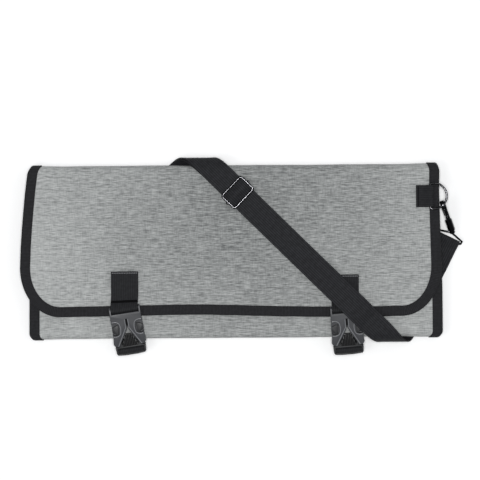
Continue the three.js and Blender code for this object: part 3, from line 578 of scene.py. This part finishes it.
@dataclass
class FoldedSheet:
    """The roll's one sheet: where a point of the flat sheet lies in the folded roll."""

    thick: float = 3.0 * MM
    low_radius: float = 5.0 * MM
    top_radius: float = 7.7 * MM
    pocket: float = 156.0 * MM
    side_share: float = 0.75
    edge_gap: float = 1.0 * MM
    row_apart: float = 0.1 * MM

    def __post_init__(self) -> None:
        """Reads the fold places and the sheet's outline from the CAD solid."""
        low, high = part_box("canvas_shell")
        self.mid_back = low.z + self.thick / 2
        self.mid_inner = self.mid_back + 2 * self.low_radius
        self.mid_flap = self.mid_back + 2 * self.top_radius
        self.low_crease = low.y + self.thick / 2 + self.low_radius
        self.top_crease = high.y - self.thick / 2 - self.top_radius
        self.back_start = self.pocket + math.pi * self.low_radius
        self.top_start = self.back_start + self.top_crease - self.low_crease
        self.flap_start = self.top_start + math.pi * self.top_radius
        self.middle = (low.x + high.x) / 2
        self.read_outline(self.side_share * (high.x - low.x) / 2)

    def at(self, x: float, down: float, height: float) -> Vector:
        """Folds a point of the flat sheet.

        Args:
            x: Its place along the roll.
            down: Its distance down the sheet, from the pocket's free end.
            height: Its height off the sheet's middle.

        Returns:
            Its place in the roll.
        """
        if down <= self.pocket:
            return Vector((x, self.low_crease + self.pocket - down, self.mid_inner + height))
        if down < self.back_start:
            turn = (down - self.pocket) / self.low_radius
            reach = self.low_radius + height
            return Vector((x, self.low_crease - reach * math.sin(turn),
                           self.mid_back + self.low_radius + reach * math.cos(turn)))
        if down <= self.top_start:
            return Vector((x, self.low_crease + down - self.back_start, self.mid_back - height))
        if down < self.flap_start:
            turn = (down - self.top_start) / self.top_radius
            reach = self.top_radius + height
            return Vector((x, self.top_crease + reach * math.sin(turn),
                           self.mid_back + self.top_radius - reach * math.cos(turn)))
        return Vector((x, self.top_crease - (down - self.flap_start), self.mid_flap + height))

    def down_of(self, point: Vector) -> float:
        """Unfolds a point of the roll.

        Args:
            point: The point in the roll.

        Returns:
            How far down the flat sheet it lies.
        """
        if point.y > self.top_crease:
            turn = math.atan2(point.y - self.top_crease, self.mid_back + self.top_radius - point.z)
            return self.top_start + self.top_radius * turn
        if point.y < self.low_crease:
            turn = math.atan2(self.low_crease - point.y, point.z - self.mid_back - self.low_radius)
            return self.pocket + self.low_radius * turn
        if point.z > (self.mid_inner + self.mid_flap) / 2:
            return self.flap_start + self.top_crease - point.y
        if point.z > (self.mid_back + self.mid_inner) / 2:
            return self.pocket + self.low_crease - point.y
        return self.back_start + point.y - self.low_crease

    def read_outline(self, side: float) -> None:
        """Sorts the CAD sheet's corners into its two long edges and the flap's end.

        Args:
            side: How far from the middle a corner lies that belongs to a long edge.
        """
        flat = {(round(v.co.x, 4), round(self.down_of(v.co), 4))
                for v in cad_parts["canvas_shell"].data.vertices}
        left, right = (
            self.thin(sorted((down, x) for x, down in flat if (x - self.middle) * sign > side))
            for sign in (-1, 1))
        self.rows = [((a[0] + b[0]) / 2, a[1], b[1]) for a, b in zip(left, right)]
        self.tilt = right[-1][0] - left[-1][0]
        self.end = sorted((x, down) for x, down in flat
                          if abs(x - self.middle) < side and down > self.flap_start)

    def thin(self, line: list[Pair]) -> list[Pair]:
        """Keeps one of the points that lie at one place down the sheet.

        Args:
            line: The points' places down and along, sorted.

        Returns:
            The points that are kept.
        """
        kept = [line[0]]
        for point in line[1:]:
            if point[0] - kept[-1][0] > self.row_apart:
                kept.append(point)
        return kept

    def end_at(self, x: float) -> float:
        """Finds the flap's end at a place along the roll.

        Args:
            x: The place along the roll.

        Returns:
            How far down the flat sheet the end lies there.
        """
        down, left, right = self.rows[-1]
        line = [(left, down - self.tilt / 2), *self.end, (right, down + self.tilt / 2)]
        x = min(max(x, left), right)
        for (x0, d0), (x1, d1) in zip(line, line[1:]):
            if x <= x1:
                share = (x - x0) / max(x1 - x0, 1e-9)
                return d0 + (d1 - d0) * eased(share)
        return line[-1][1]

    def fine_rows(self, step: float) -> list[tuple[float, float, float]]:
        """Puts extra rows between the sheet's own.

        Args:
            step: How far apart the rows may lie.

        Returns:
            For each row its place down the sheet, its left end and its right end.
        """
        out = [self.rows[0]]
        for before, after in zip(self.rows, self.rows[1:]):
            parts = max(1, math.ceil((after[0] - before[0]) / step))
            for i in range(1, parts + 1):
                out.append(tuple(a + (b - a) * i / parts for a, b in zip(before, after)))
        return out

    def flat_area(self) -> float:
        """Returns the area of the flat cut."""
        return sum((b[0] - a[0]) * (a[2] - a[1] + b[2] - b[1]) / 2
                   for a, b in zip(self.rows, self.rows[1:]))


@dataclass
class CanvasBody:
    """The canvas of the roll: one sheet in two folds, with the slack that such cloth takes up."""

    sheet: FoldedSheet
    columns: int = 104
    step: float = 4.5 * MM
    slack: float = 1.1 * MM
    wave: float = 70.0 * MM
    ripple: float = 24.0 * MM
    ripple_share: float = 0.18
    seeds: Pair = (3.1, 7.7)
    margin: float = 12.0 * MM
    blend: float = 26.0 * MM
    end_reach: float = 45.0 * MM

    def build(self) -> None:
        sheet = self.sheet
        first, last = sheet.rows[0][0], sheet.rows[-1][0]
        lines, places = [], []
        for down, left, right in sheet.fine_rows(self.step):
            across = [left + (right - left) * k / self.columns for k in range(self.columns + 1)]
            near = max(0.0, 1 - (last - down) / self.end_reach)
            downs = [down + (sheet.end_at(x) - last) * near * near for x in across]
            outs = [min(x - left, right - x, down - first, last - down) for x in across]
            lines.append([sheet.at(x, there, self.sag(x, there, out))
                          for x, there, out in zip(across, downs, outs)])
            places.append([(x, -there) for x, there in zip(across, downs)])
        bm = surface_through(lines, places)
        shade(bm)
        bmesh.ops.recalc_face_normals(bm, faces=bm.faces)
        piece = place_piece("canvas", bm, CANVAS, ["canvas_shell"])
        soften(piece, thickness=sheet.thick)
        sheet.flat_area()

    def sag(self, x: float, down: float, out: float) -> float:
        """Works out how far the slack cloth lies below its flat place.

        Args:
            x: The place along the roll.
            down: The distance down the sheet.
            out: The distance in from the nearest edge.

        Returns:
            A height of nought or less.
        """
        free = eased(min(1.0, max(0.0, (out - self.margin) / self.blend)))
        wide, fine = (noise.noise(Vector((x / size, down / size, seed)))
                      for size, seed in zip((self.wave, self.ripple), self.seeds))
        return -self.slack * free * max(0.0, 0.5 - 0.5 * wide + self.ripple_share * fine)


@dataclass
class StitchRow:
    """Sewing stitches: short rounded threads lying in line on a surface, as one joined mesh."""

    name: str
    finish: Finish
    slot: str
    long: float = 2.6 * MM
    pitch: float = 3.4 * MM
    thick: float = 0.55 * MM
    stitches: list[Matrix] = field(default_factory=list)

    def follow(self, points: list[Vector], ups: list[Vector]) -> None:
        """Lays stitches along a line of points.

        Args:
            points: The line on the surface.
            ups: The surface's outward direction at each point.
        """
        place = self.pitch / 2
        for a, b, up in zip(points, points[1:], ups):
            reach = (b - a).length
            way = (b - a).normalized()
            while place < reach:
                side = up.cross(way).normalized()
                turn = Matrix((way, side, way.cross(side))).transposed().to_4x4()
                self.stitches.append(Matrix.Translation(a + way * place) @ turn)
                place += self.pitch
            place -= reach

    def build(self) -> None:
        """Builds all the stitches as one piece."""
        bm = bmesh.new()
        size = Matrix.Diagonal((self.long / 2, self.thick / 2, self.thick / 2, 1))
        for turn in self.stitches:
            bmesh.ops.create_icosphere(bm, subdivisions=1, radius=1, matrix=turn @ size)
        shade(bm)
        place_piece(self.name, bm, self.finish)


@dataclass
class EdgeBinding:
    """The tape folded over the sheet's whole edge, with a row of stitches near its inner edge."""

    sheet: FoldedSheet
    wide: float = 12.2 * MM
    wall: float = 0.7 * MM
    gap: float = 0.3 * MM
    step: float = 4.0 * MM
    stitch_inset: float = 10.6 * MM
    stitch_pitch: float = 3.6 * MM
    flat_share: float = 0.6
    corner_rows: int = 10
    corner_steps: int = 24
    # The tape's rounded outer edge: millimetres in from it, and share of its half thickness
    round_edge: tuple[Pair, ...] = (
        (2.4, 1.0), (0.9, 0.9), (0.25, 0.55), (0.0, 0.0), (0.25, -0.55), (0.9, -0.9), (2.4, -1.0))

    def flat_line(self) -> list[Vector]:
        """Lays out the canvas's edge on the flat sheet.

        Returns:
            Its line from the pocket's left end round the flap to the pocket's right end.
        """
        corner = self.sheet.rows[-self.corner_rows:]
        start = corner[0][0]
        straight = [row for row in self.sheet.fine_rows(self.step) if row[0] <= start + 1e-7]
        sides = []
        for index, sign in ((1, -1), (2, 1)):
            deep = corner[-1][0] + sign * self.sheet.tilt / 2 - start
            out = corner[0][index]
            wide = abs(out - corner[-1][index])
            angles = [math.pi / 2 * (i + 1) / self.corner_steps for i in range(self.corner_steps)]
            round_corner = [(out - sign * wide * (1 - math.cos(a)), start + deep * math.sin(a))
                            for a in angles]
            sides.append([Vector(place) for place in
                          [*((row[index], row[0]) for row in straight), *round_corner]])
        left, right = sides[0][-1].x, sides[1][-1].x
        count = math.ceil((right - left) / (2 * self.step))
        end = [left + (right - left) * i / count for i in range(1, count)]
        across = [Vector((x, self.sheet.end_at(x))) for x in end]
        return [*sides[0], *across, *reversed(sides[1])]

    def moved(self, line: list[Vector], inset: float) -> list[Vector]:
        """Moves a flat edge line inwards.

        Args:
            line: The canvas's edge.
            inset: The distance in from the tape's outer edge.

        Returns:
            The moved line.
        """
        inset -= self.sheet.edge_gap
        start = self.sheet.rows[-self.corner_rows][0]
        out = []
        for i, point in enumerate(line):
            at_end = i in (0, len(line) - 1)
            if point.y < start or at_end:
                down = point.y + (inset if at_end else 0)
                out.append(Vector((point.x - math.copysign(1, point.x) * inset, down)))
                continue
            way = (line[i + 1] - line[i - 1]).normalized()
            out.append(point + Vector((way.y, -way.x)) * inset)
        return out

    def build(self) -> None:
        """Builds the tape as a channel swept along the edge."""
        line = self.flat_line()
        half = self.sheet.thick / 2 + self.gap
        proud = half + self.wall
        section = [(self.wide, proud), (self.wide * self.flat_share, proud)]
        section += [(inset * MM, share * proud) for inset, share in self.round_edge]
        section += [(self.wide * self.flat_share, -proud), (self.wide, -proud), (self.wide, -half),
                    (self.wall, -half), (self.wall, half), (self.wide, half), (self.wide, proud)]
        insets = {inset: self.moved(line, inset) for inset, _ in section}
        rings = [[self.sheet.at(*insets[inset][i], height) for inset, height in section]
                 for i in range(len(line))]
        rings = refine([*rings, rings[0]], 2 * self.step)
        across, along = [0.0], 0.0
        for (a, h), (b, k) in zip(section, section[1:]):
            across.append(across[-1] + math.hypot(a - b, h - k))
        places = []
        for ring, before in zip(rings, [rings[0], *rings]):
            along += (ring[0] - before[0]).length
            places.append([(u, along) for u in across])
        bm = surface_through(rings, places)
        bmesh.ops.remove_doubles(bm, verts=bm.verts, dist=TAPE_WELD)
        bmesh.ops.recalc_face_normals(bm, faces=bm.faces)
        shade(bm, HARD_EDGE)
        place_piece("edge_tape", bm, TAPE, ["edge_binding"])

    def sew(self) -> None:
        """Builds the row of stitches that holds the tape, on both of its faces."""
        line = self.moved(self.flat_line(), self.stitch_inset)
        proud = self.sheet.thick / 2 + self.gap + self.wall
        row = StitchRow("edge_stitches", DARK_THREAD, "binding", pitch=self.stitch_pitch)
        for side in (1, -1):
            points = [self.sheet.at(*place, side * proud) for place in line]
            ups = [(self.sheet.at(*place, side) - self.sheet.at(*place, 0)).normalized()
                   for place in line]
            row.follow(points, ups)
        row.build()


class Ribbon:
    """A woven band: the lines across it, read from its CAD solid, and a surface to sew on."""

    SHARP = math.radians(58)
    RIM = 0.3 * MM
    RIM_ANGLE = 60.0

    def __init__(self, node: str, columns: int, first: Vector) -> None:
        """Reads the band's lines.

        Args:
            node: The CAD node.
            columns: How many points each of its lines has.
            first: A point near the end where the band starts.
        """
        self.node = node
        bm = merged(node)
        sharp = {e for e in bm.edges
                 if len(e.link_faces) == 2 and e.calc_face_angle(0) > self.SHARP}
        links = {v: [e for e in v.link_edges if e in sharp] for v in bm.verts}
        corners = {v for v in bm.verts if len(links[v]) > 2}
        chains = {v: sorted((self.chain(v, e, links, corners) for e in links[v]), key=self.size)
                  for v in corners}
        start = min(corners, key=lambda v: (v.co - first).length)
        below = chains[start][0][-1]
        beside = chains[start][1][-1]
        opposite = chains[beside][0][-1]
        rails = [chains[v][-1] for v in (start, beside, below, opposite)]
        self.lines = []
        for a, b, c, d in zip(*rails):
            face = self.across(a, b, columns - 1)
            back = self.across(c, d, columns - 1)
            self.lines.append([(p.co + q.co) / 2 for p, q in zip(face, back)])
        self.thick = (start.co - below.co).length
        out = start.co - below.co
        corner = self.lines[0][0]
        normal = (self.lines[1][0] - corner).cross(self.lines[0][1] - corner)
        self.turn = 1.0 if normal.dot(out) > 0 else -1.0
        bm.free()

    @staticmethod
    def size(chain: list[Vert]) -> tuple[int, float]:
        """Returns a chain's count and length, to sort chains by."""
        return len(chain), sum((a.co - b.co).length for a, b in zip(chain, chain[1:]))

    @staticmethod
    def chain(start: Vert, edge: bmesh.types.BMEdge, links: dict, corners: set) -> list[Vert]:
        """Follows sharp edges from a corner to the next corner.

        Args:
            start: The corner.
            edge: The first edge.
            links: The sharp edges at each point.
            corners: The points where a chain ends.

        Returns:
            The points that it passes, both corners among them.
        """
        line, here, via = [start], start, edge
        while here is start or here not in corners:
            here = via.other_vert(here)
            line.append(here)
            via = next((e for e in links[here] if e is not via), via)
        return line

    def across(self, here: Vert, there: Vert, steps: int) -> Optional[list[Vert]]:
        """Finds the way across the band that takes exactly so many edges.

        Args:
            here: The point at one edge of the band.
            there: The point at its other edge.
            steps: The number of edges.

        Returns:
            The points on the way, or none.
        """
        if steps == 0:
            return [here] if here is there else None
        for edge in here.link_edges:
            rest = self.across(edge.other_vert(here), there, steps - 1)
            if rest:
                return [here, *rest]
        return None

    def surface(self, across: float, back: float) -> tuple[Vector, Vector]:
        """Finds a point on the band's outer face.

        Args:
            across: The share of the width, from the first edge.
            back: The distance from the band's far end.

        Returns:
            The point, and its outward direction.
        """
        count = len(self.lines[0]) - 1
        k = min(int(across * count), count - 1)
        rail = [line[k].lerp(line[k + 1], across * count - k) for line in reversed(self.lines)]
        wides = [line[k + 1] - line[k] for line in reversed(self.lines)]
        for a, b, wide in zip(rail, rail[1:], wides):
            size = (b - a).length
            if size >= back:
                up = (a - b).cross(wide).normalized() * self.turn
                return a.lerp(b, back / size) + up * (self.thick / 2), up
            back -= size
        raise ValueError("the band is too short")

    def seam(self, row: StitchRow, back: float, margin: float = 0.06, steps: int = 8) -> None:
        """Lays a row of stitches across the band.

        Args:
            row: The stitches.
            back: The distance from the band's far end.
            margin: The share of the width left free at each edge.
            steps: The number of stretches that it is laid in.
        """
        found = [self.surface(margin + (1 - 2 * margin) * i / steps, back)
                 for i in range(steps + 1)]
        row.follow([point for point, _ in found], [up for _, up in found])

    def build(self, name: str, finish: Finish, slot: str, columns: int = 4,
              step: float = 3.5 * MM) -> None:
        """Builds the band as a smooth woven strip.

        Args:
            name: The piece's name.
            finish: Its finish.
            slot: Not used.
            columns: How many faces lie across it.
            step: How far its lines lie apart at most.
        """
        count = len(self.lines[0]) - 1
        shares = [min(k / columns * count, count - 1e-6) for k in range(columns + 1)]
        lines = [[line[int(a)].lerp(line[int(a) + 1], a % 1) for a in shares]
                 for line in refine(self.lines, step)]
        wide = (lines[0][-1] - lines[0][0]).length
        places, reach = [], 0.0
        for line, before in zip(lines, [lines[0], *lines]):
            reach += (line[columns // 2] - before[columns // 2]).length
            places.append([(wide * k / columns, reach) for k in range(columns + 1)])
        bm = surface_through(lines, places)
        bmesh.ops.recalc_face_normals(bm, faces=bm.faces)
        shade(bm)
        piece = place_piece(name, bm, finish, [self.node])
        soften(piece, subdivide=1, thickness=self.thick, rim=self.RIM,
               rim_angle=self.RIM_ANGLE)


@dataclass
class HardPiece:
    """A moulded, cast or bent fitting: the CAD shape, its sharp edges broken, its rounds smooth."""

    node: str
    finish: Finish
    slot: str
    rides: Rides = Rides.BAG
    rim: float = 0.25 * MM
    hard_angle: float = 38.0
    flat_angle: float = 1.0

    def build(self) -> None:
        """Builds the fitting from a merged copy of its CAD node."""
        bm = merged(self.node)
        bmesh.ops.dissolve_limit(bm, angle_limit=math.radians(self.flat_angle), verts=bm.verts,
                                 edges=bm.edges)
        shade(bm, self.hard_angle)
        piece = place_piece(f"{self.node}_finished", bm, self.finish, [self.node],
                            self.rides)
        soften(piece, rim=self.rim, rim_angle=self.hard_angle)


@dataclass(frozen=True)
class Ridge:
    """A raised line on a buckle: its places, its height off the bar and its radius.

    It runs smoothly through its places if it is curved, and straight between them if not.
    """

    line: Iterable[Pair]
    height: float
    radius: float
    curved: bool = False


@dataclass
class Buckle:
    """A side release buckle: socket, latched plug, and the rims and ribs moulded on them.

    Lengths are in millimetres from the socket's bar: across, towards the bar, and up off the flap.
    """

    side: Side
    tilt: float
    pitch: float = 11.0
    lug_end: float = 4.0
    top: float = 4.6
    slot_half: float = 1.9
    slot_top: float = -10.8
    apex: float = -20.8
    mouth: Pair = (13.9, -42.2)
    window: tuple[Pair, ...] = (
        (17.6, -12.8), (13.6, -12.8), (9.9, -14.6), (8.4, -18.2), (8.4, -25.0), (9.9, -28.6),
        (13.6, -30.4), (17.6, -30.4))
    rim: float = 0.55
    socket_rim: float = 0.35
    rib: float = 0.8
    rib_pitch: float = 1.9
    # The rail: the plug's guide in the slot's hollow, drawn in painted shade
    rail: float = 1.1
    rail_height: float = -0.4
    rib_count: int = 9
    plate_top: float = 2.5
    plate_half: float = 3.4
    plate_start: float = -29.3
    plate_end: float = -43.6
    plate_lean: float = 2.4
    end_line: tuple[Pair, ...] = (
        (-16.6, -51.2), (-15.2, -53.0), (-11.0, -53.8), (0.0, -54.1), (11.0, -53.8),
        (15.2, -53.0), (16.6, -51.2))
    end_bar: float = 1.25
    end_height: float = -1.0

    def __post_init__(self) -> None:
        """Finds the socket's bar and turn in the CAD frame."""
        turn = (Matrix.Rotation(math.radians(self.tilt), 4, "Z")
                @ Matrix.Rotation(math.radians(self.pitch), 4, "X"))
        back = turn.inverted()
        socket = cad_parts[f"buckle_socket_{self.side.value}"]
        points = [back @ v.co for v in socket.data.vertices]
        middle = (min(p.x for p in points) + max(p.x for p in points)) / 2
        bar = Vector((middle, max(p.y for p in points) - self.lug_end * MM,
                      max(p.z for p in points) - self.top * MM))
        self.place = turn @ Matrix.Translation(bar) @ Matrix.Scale(MM, 4)

    def moulding(self, name: str, finish: Finish, ridges: Iterable[Ridge]) -> None:
        """Builds raised lines on the buckle as one piece.

        Args:
            name: The piece's name, without its side.
            finish: Its finish.
            ridges: The lines.
        """
        bm = bmesh.new()
        for ridge in ridges:
            line = [self.place @ Vector((x, y, ridge.height)) for x, y in ridge.line]
            add_wire(bm, line, ridge.radius * MM, curved=ridge.curved)
        shade(bm)
        place_piece(f"{name}_{self.side.value}", bm, finish)

    def build(self) -> None:
        """Builds both halves and what is moulded on them."""
        name = self.side.value
        HardPiece(f"buckle_socket_{name}", SOCKET, "buckle_socket",
                  rim=self.socket_rim * MM).build()
        HardPiece(f"buckle_plug_{name}", PLUG, "buckle_plug").build()
        slot = [(self.slot_half, self.slot_top), (self.slot_half, self.apex), self.mouth]
        # The rims are painted lighter than the socket they are moulded on: a painted highlight
        self.moulding("buckle_rims", PAINTED_HIGHLIGHT_RIDGE, [
            Ridge([(sign * x, y) for x, y in line], self.top, self.rim, curved)
            for sign in (-1, 1) for line, curved in ((slot, False), (self.window, True))])
        # The plate's ribs and the slot's rail are drawn in the plug's plastic darkened as painted
        # shade
        places = [(i - (self.rib_count - 1) / 2) * self.rib_pitch for i in range(self.rib_count)]
        starts = [self.plate_start - max(0.0, abs(x) - self.plate_half) * self.plate_lean
                  for x in places]
        ribs = [Ridge([(x, start), (x, self.plate_end)], self.plate_top, self.rib)
                for x, start in zip(places, starts)]
        rail = [(0.0, self.slot_top), (0.0, self.apex + self.rail)]
        self.moulding("plug_ribs_in_painted_shade", PLUG_IN_PAINTED_SHADE,
                      [*ribs, Ridge(rail, self.rail_height, self.rail)])
        self.moulding("plug_end", PLUG,
                      [Ridge(self.end_line, self.end_height, self.end_bar, curved=True)])


@dataclass
class WireFittings:
    """The D-ring and the strap's slider, bent from round steel wire."""

    wire: float = 1.5 * MM
    slider_corner: float = 2.6 * MM
    knob: float = 1.7 * MM
    knob_drop: float = 0.8 * MM
    knob_faces: tuple[int, int] = (16, 10)
    side_share: float = 0.94
    corner_steps: int = 5
    arc_steps: int = 14

    def ring(self) -> None:
        """Builds the D-ring: a straight side in the tab and a round bow."""
        low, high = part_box("d_ring_right")
        wire = (high.z - low.z) / 2
        reach = (high.y - low.y) / 2
        middle = (low + high) / 2
        bend, radius = high.x - reach, reach - wire
        angles = [math.radians(180 * i / self.arc_steps - 90) for i in range(self.arc_steps + 1)]
        line = [Vector((bend + radius * math.cos(a), middle.y + radius * math.sin(a), middle.z))
                for a in angles]
        line += [Vector((low.x + wire, middle.y + share * radius, middle.z))
                 for share in (self.side_share, 0, -self.side_share)]
        bm = bmesh.new()
        add_wire(bm, line, wire, closed=True)
        shade(bm)
        place_piece("d_ring", bm, STEEL, ["d_ring_right"])

    def slider(self) -> None:
        """Builds the slider: a frame with round corners, a lower bar across it and two knobs."""
        low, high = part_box("strap_slider")
        solid = merged("strap_slider")
        longest = max(solid.edges, key=lambda edge: edge.calc_length())
        way = (longest.verts[1].co - longest.verts[0].co).normalized()
        middle = Vector(((low.x + high.x) / 2, (low.y + high.y) / 2, high.z - self.wire))
        side = Vector((-way.y, way.x, 0))
        wide, deep = (max(abs((v.co - middle).dot(axis)) for v in solid.verts)
                      for axis in (way, side))
        solid.free()
        wide -= self.knob + self.wire
        deep -= self.wire
        line = []
        for x, y, start in ((1, 1, 0), (-1, 1, 90), (-1, -1, 180), (1, -1, 270)):
            for i in range(self.corner_steps + 1):
                angle = math.radians(start + 90 * i / self.corner_steps)
                out = x * (wide - self.slider_corner) + self.slider_corner * math.cos(angle)
                up = y * (deep - self.slider_corner) + self.slider_corner * math.sin(angle)
                line.append(middle + way * out + side * up)
        bm = bmesh.new()
        add_wire(bm, line, self.wire, closed=True, curved=False)
        drop = Vector((0, 0, low.z + self.wire - middle.z))
        ends = [middle + drop - way * wide, middle + drop + way * wide]
        add_wire(bm, ends, self.wire, curved=False)
        for sign in (-1, 1):
            place = middle + way * sign * (wide + self.wire) - Vector((0, 0, self.knob_drop))
            bmesh.ops.create_uvsphere(
                bm, u_segments=self.knob_faces[0], v_segments=self.knob_faces[1],
                radius=self.knob, matrix=Matrix.Translation(place))
        shade(bm, HARD_EDGE)
        place_piece("slider", bm, STEEL, ["strap_slider"])


@dataclass
class Straps:
    """The webbing: the tabs of the buckles, the ring and the hidden link, and the strap."""

    strap_columns: int = 5
    tab_columns: int = 2
    hem: float = 1.9 * MM
    ring_hem: float = 2.4 * MM
    # Where each flap tab creases, and the rows of tack stitches across it, set so close that their
    # black also paints the crease's shade
    tacks: Pair = (36.6 * MM, 32.7 * MM)
    tack_rows: tuple[float, ...] = (-1.8 * MM, -0.9 * MM, 0.0, 0.9 * MM)
    margins: Pair = (0.03, 0.01)

    def build(self) -> None:
        """Builds every tab and the strap, and sews the ones that show."""
        hems = StitchRow("tab_hem_stitches", PALE_THREAD, "webbing", long=2.1 * MM,
                         pitch=2.0 * MM, thick=0.8 * MM)
        tacks = StitchRow("tab_tack_stitches", BLACK_THREAD, "webbing", long=2.2 * MM,
                          pitch=1.1 * MM, thick=1.1 * MM)
        for side, crease in zip(Side, self.tacks):
            self.tab(f"back_tab_{side.value}")
            tab = self.tab(f"flap_tab_{side.value}")
            tab.seam(hems, self.hem, self.margins[0])
            for row in self.tack_rows:
                tab.seam(tacks, crease + row, self.margins[1])
        self.tab("ring_tab_right").seam(tacks, self.ring_hem)
        self.tab("link_tab_left")
        hems.build()
        tacks.build()
        low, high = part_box("hook_eye_right")
        strap = Ribbon("shoulder_strap", self.strap_columns, (low + high) / 2)
        strap.build("strap", STRAP, "strap_webbing")

    def tab(self, node: str) -> Ribbon:
        """Builds one tab.

        Args:
            node: Its CAD node.

        Returns:
            The tab's band, ready to be sewn.
        """
        low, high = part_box(node)
        ribbon = Ribbon(node, self.tab_columns, Vector(((low.x + high.x) / 2, high.y, low.z)))
        ribbon.build(f"{node}_woven", TAB, "webbing")
        return ribbon


@dataclass
class SnapHook:
    """The snap hook, its sprung lever and its eye, and the strap's hidden link."""

    parts: tuple[HardPiece, ...] = (
        HardPiece("hook_body_right", STEEL, "metal", rim=0.3 * MM),
        HardPiece("hook_gate_right", STEEL, "metal", Rides.GATE, rim=0.2 * MM),
        HardPiece("hook_eye_right", STEEL, "metal", rim=0.1 * MM, hard_angle=60),
        HardPiece("strap_link_left", STEEL, "metal", rim=0.2 * MM))

    def build(self) -> None:
        """Builds every part."""
        for part in self.parts:
            part.build()


@dataclass(frozen=True)
class Lamp:
    """A soft square light that faces the roll. Its lengths are in metres, its power in watts."""

    name: str
    place: tuple[float, float, float]
    size: float
    power: float

    def build(self) -> None:
        """Hangs the light."""
        data = bpy.data.lights.new(self.name, "AREA")
        data.size = self.size
        data.energy = self.power
        lamp = bpy.data.objects.new(self.name, data)
        lamp.location = self.place
        lamp.rotation_euler = (-Vector(self.place)).to_track_quat("-Z", "Y").to_euler()
        bpy.context.scene.collection.objects.link(lamp)


@dataclass
class Studio:
    """A pale floor, soft light and a camera that looks straight down, as the picture does."""

    view_wide: float = 566.0 * MM
    aim: tuple[float, float, float] = (-2.6 * MM, 19.2 * MM, 24.0 * MM)
    lens: float = 135.0
    roll: float = -0.45
    sky: str = "f8fafc"
    sky_power: float = 0.38
    floor_half: float = 4.0
    floor_drop: float = 0.3 * MM
    lamps: tuple[Lamp, ...] = (
        Lamp("overhead", (0.0, 0.02, 2.3), 0.45, 36.0),
        Lamp("key", (-0.7, -0.3, 1.5), 0.5, 3.0),
        Lamp("fill", (1.0, 0.3, 1.2), 1.2, 2.0))

    def build(self) -> None:
        """Makes the camera, the floor, the lights and the sky."""
        self.camera()
        self.ground()
        for lamp in self.lamps:
            lamp.build()
        world = bpy.data.worlds.new("studio_world")
        world.use_nodes = True
        sky = world.node_tree.nodes["Background"].inputs
        sky["Color"].default_value = linear(self.sky)
        sky["Strength"].default_value = self.sky_power
        bpy.context.scene.world = world
        bpy.context.scene.view_settings.view_transform = "Standard"

    def camera(self) -> None:
        """Places the camera straight above the roll."""
        data = bpy.data.cameras.new("camera")
        data.lens = self.lens
        away = self.view_wide * data.lens / data.sensor_width
        camera = bpy.data.objects.new("camera", data)
        camera.location = Vector(self.aim) + Vector((0, 0, away))
        camera.rotation_euler = (0, 0, math.radians(self.roll))
        bpy.context.scene.collection.objects.link(camera)
        bpy.context.scene.camera = camera

    def ground(self) -> None:
        """Lays the pale floor just under the roll."""
        bm = bmesh.new()
        bmesh.ops.create_grid(bm, x_segments=1, y_segments=1, size=self.floor_half)
        mesh = bpy.data.meshes.new("floor")
        bm.to_mesh(mesh)
        bm.free()
        floor = bpy.data.objects.new("floor", mesh)
        floor.location.z = -self.floor_drop
        mesh.materials.append(FLOOR.material())
        bpy.context.scene.collection.objects.link(floor)


def corners(box: tuple[Vector, Vector]) -> list[list[float]]:
    """Returns a box's two corners as plain lists."""
    return [list(corner) for corner in box]


def main() -> None:
    """Builds the roll's looks round the fixed frame."""
    logging.basicConfig(level=logging.INFO, format="%(name)s %(message)s")
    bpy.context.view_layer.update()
    Studio().build()
    sheet = FoldedSheet()
    CanvasBody(sheet).build()
    binding = EdgeBinding(sheet)
    binding.build()
    binding.sew()
    Straps().build()
    for side, tilt in BUCKLE_TILTS.items():
        Buckle(side, tilt).build()
    fittings = WireFittings()
    fittings.ring()
    fittings.slider()
    SnapHook().build()


if __name__ == "__main__":
    main()
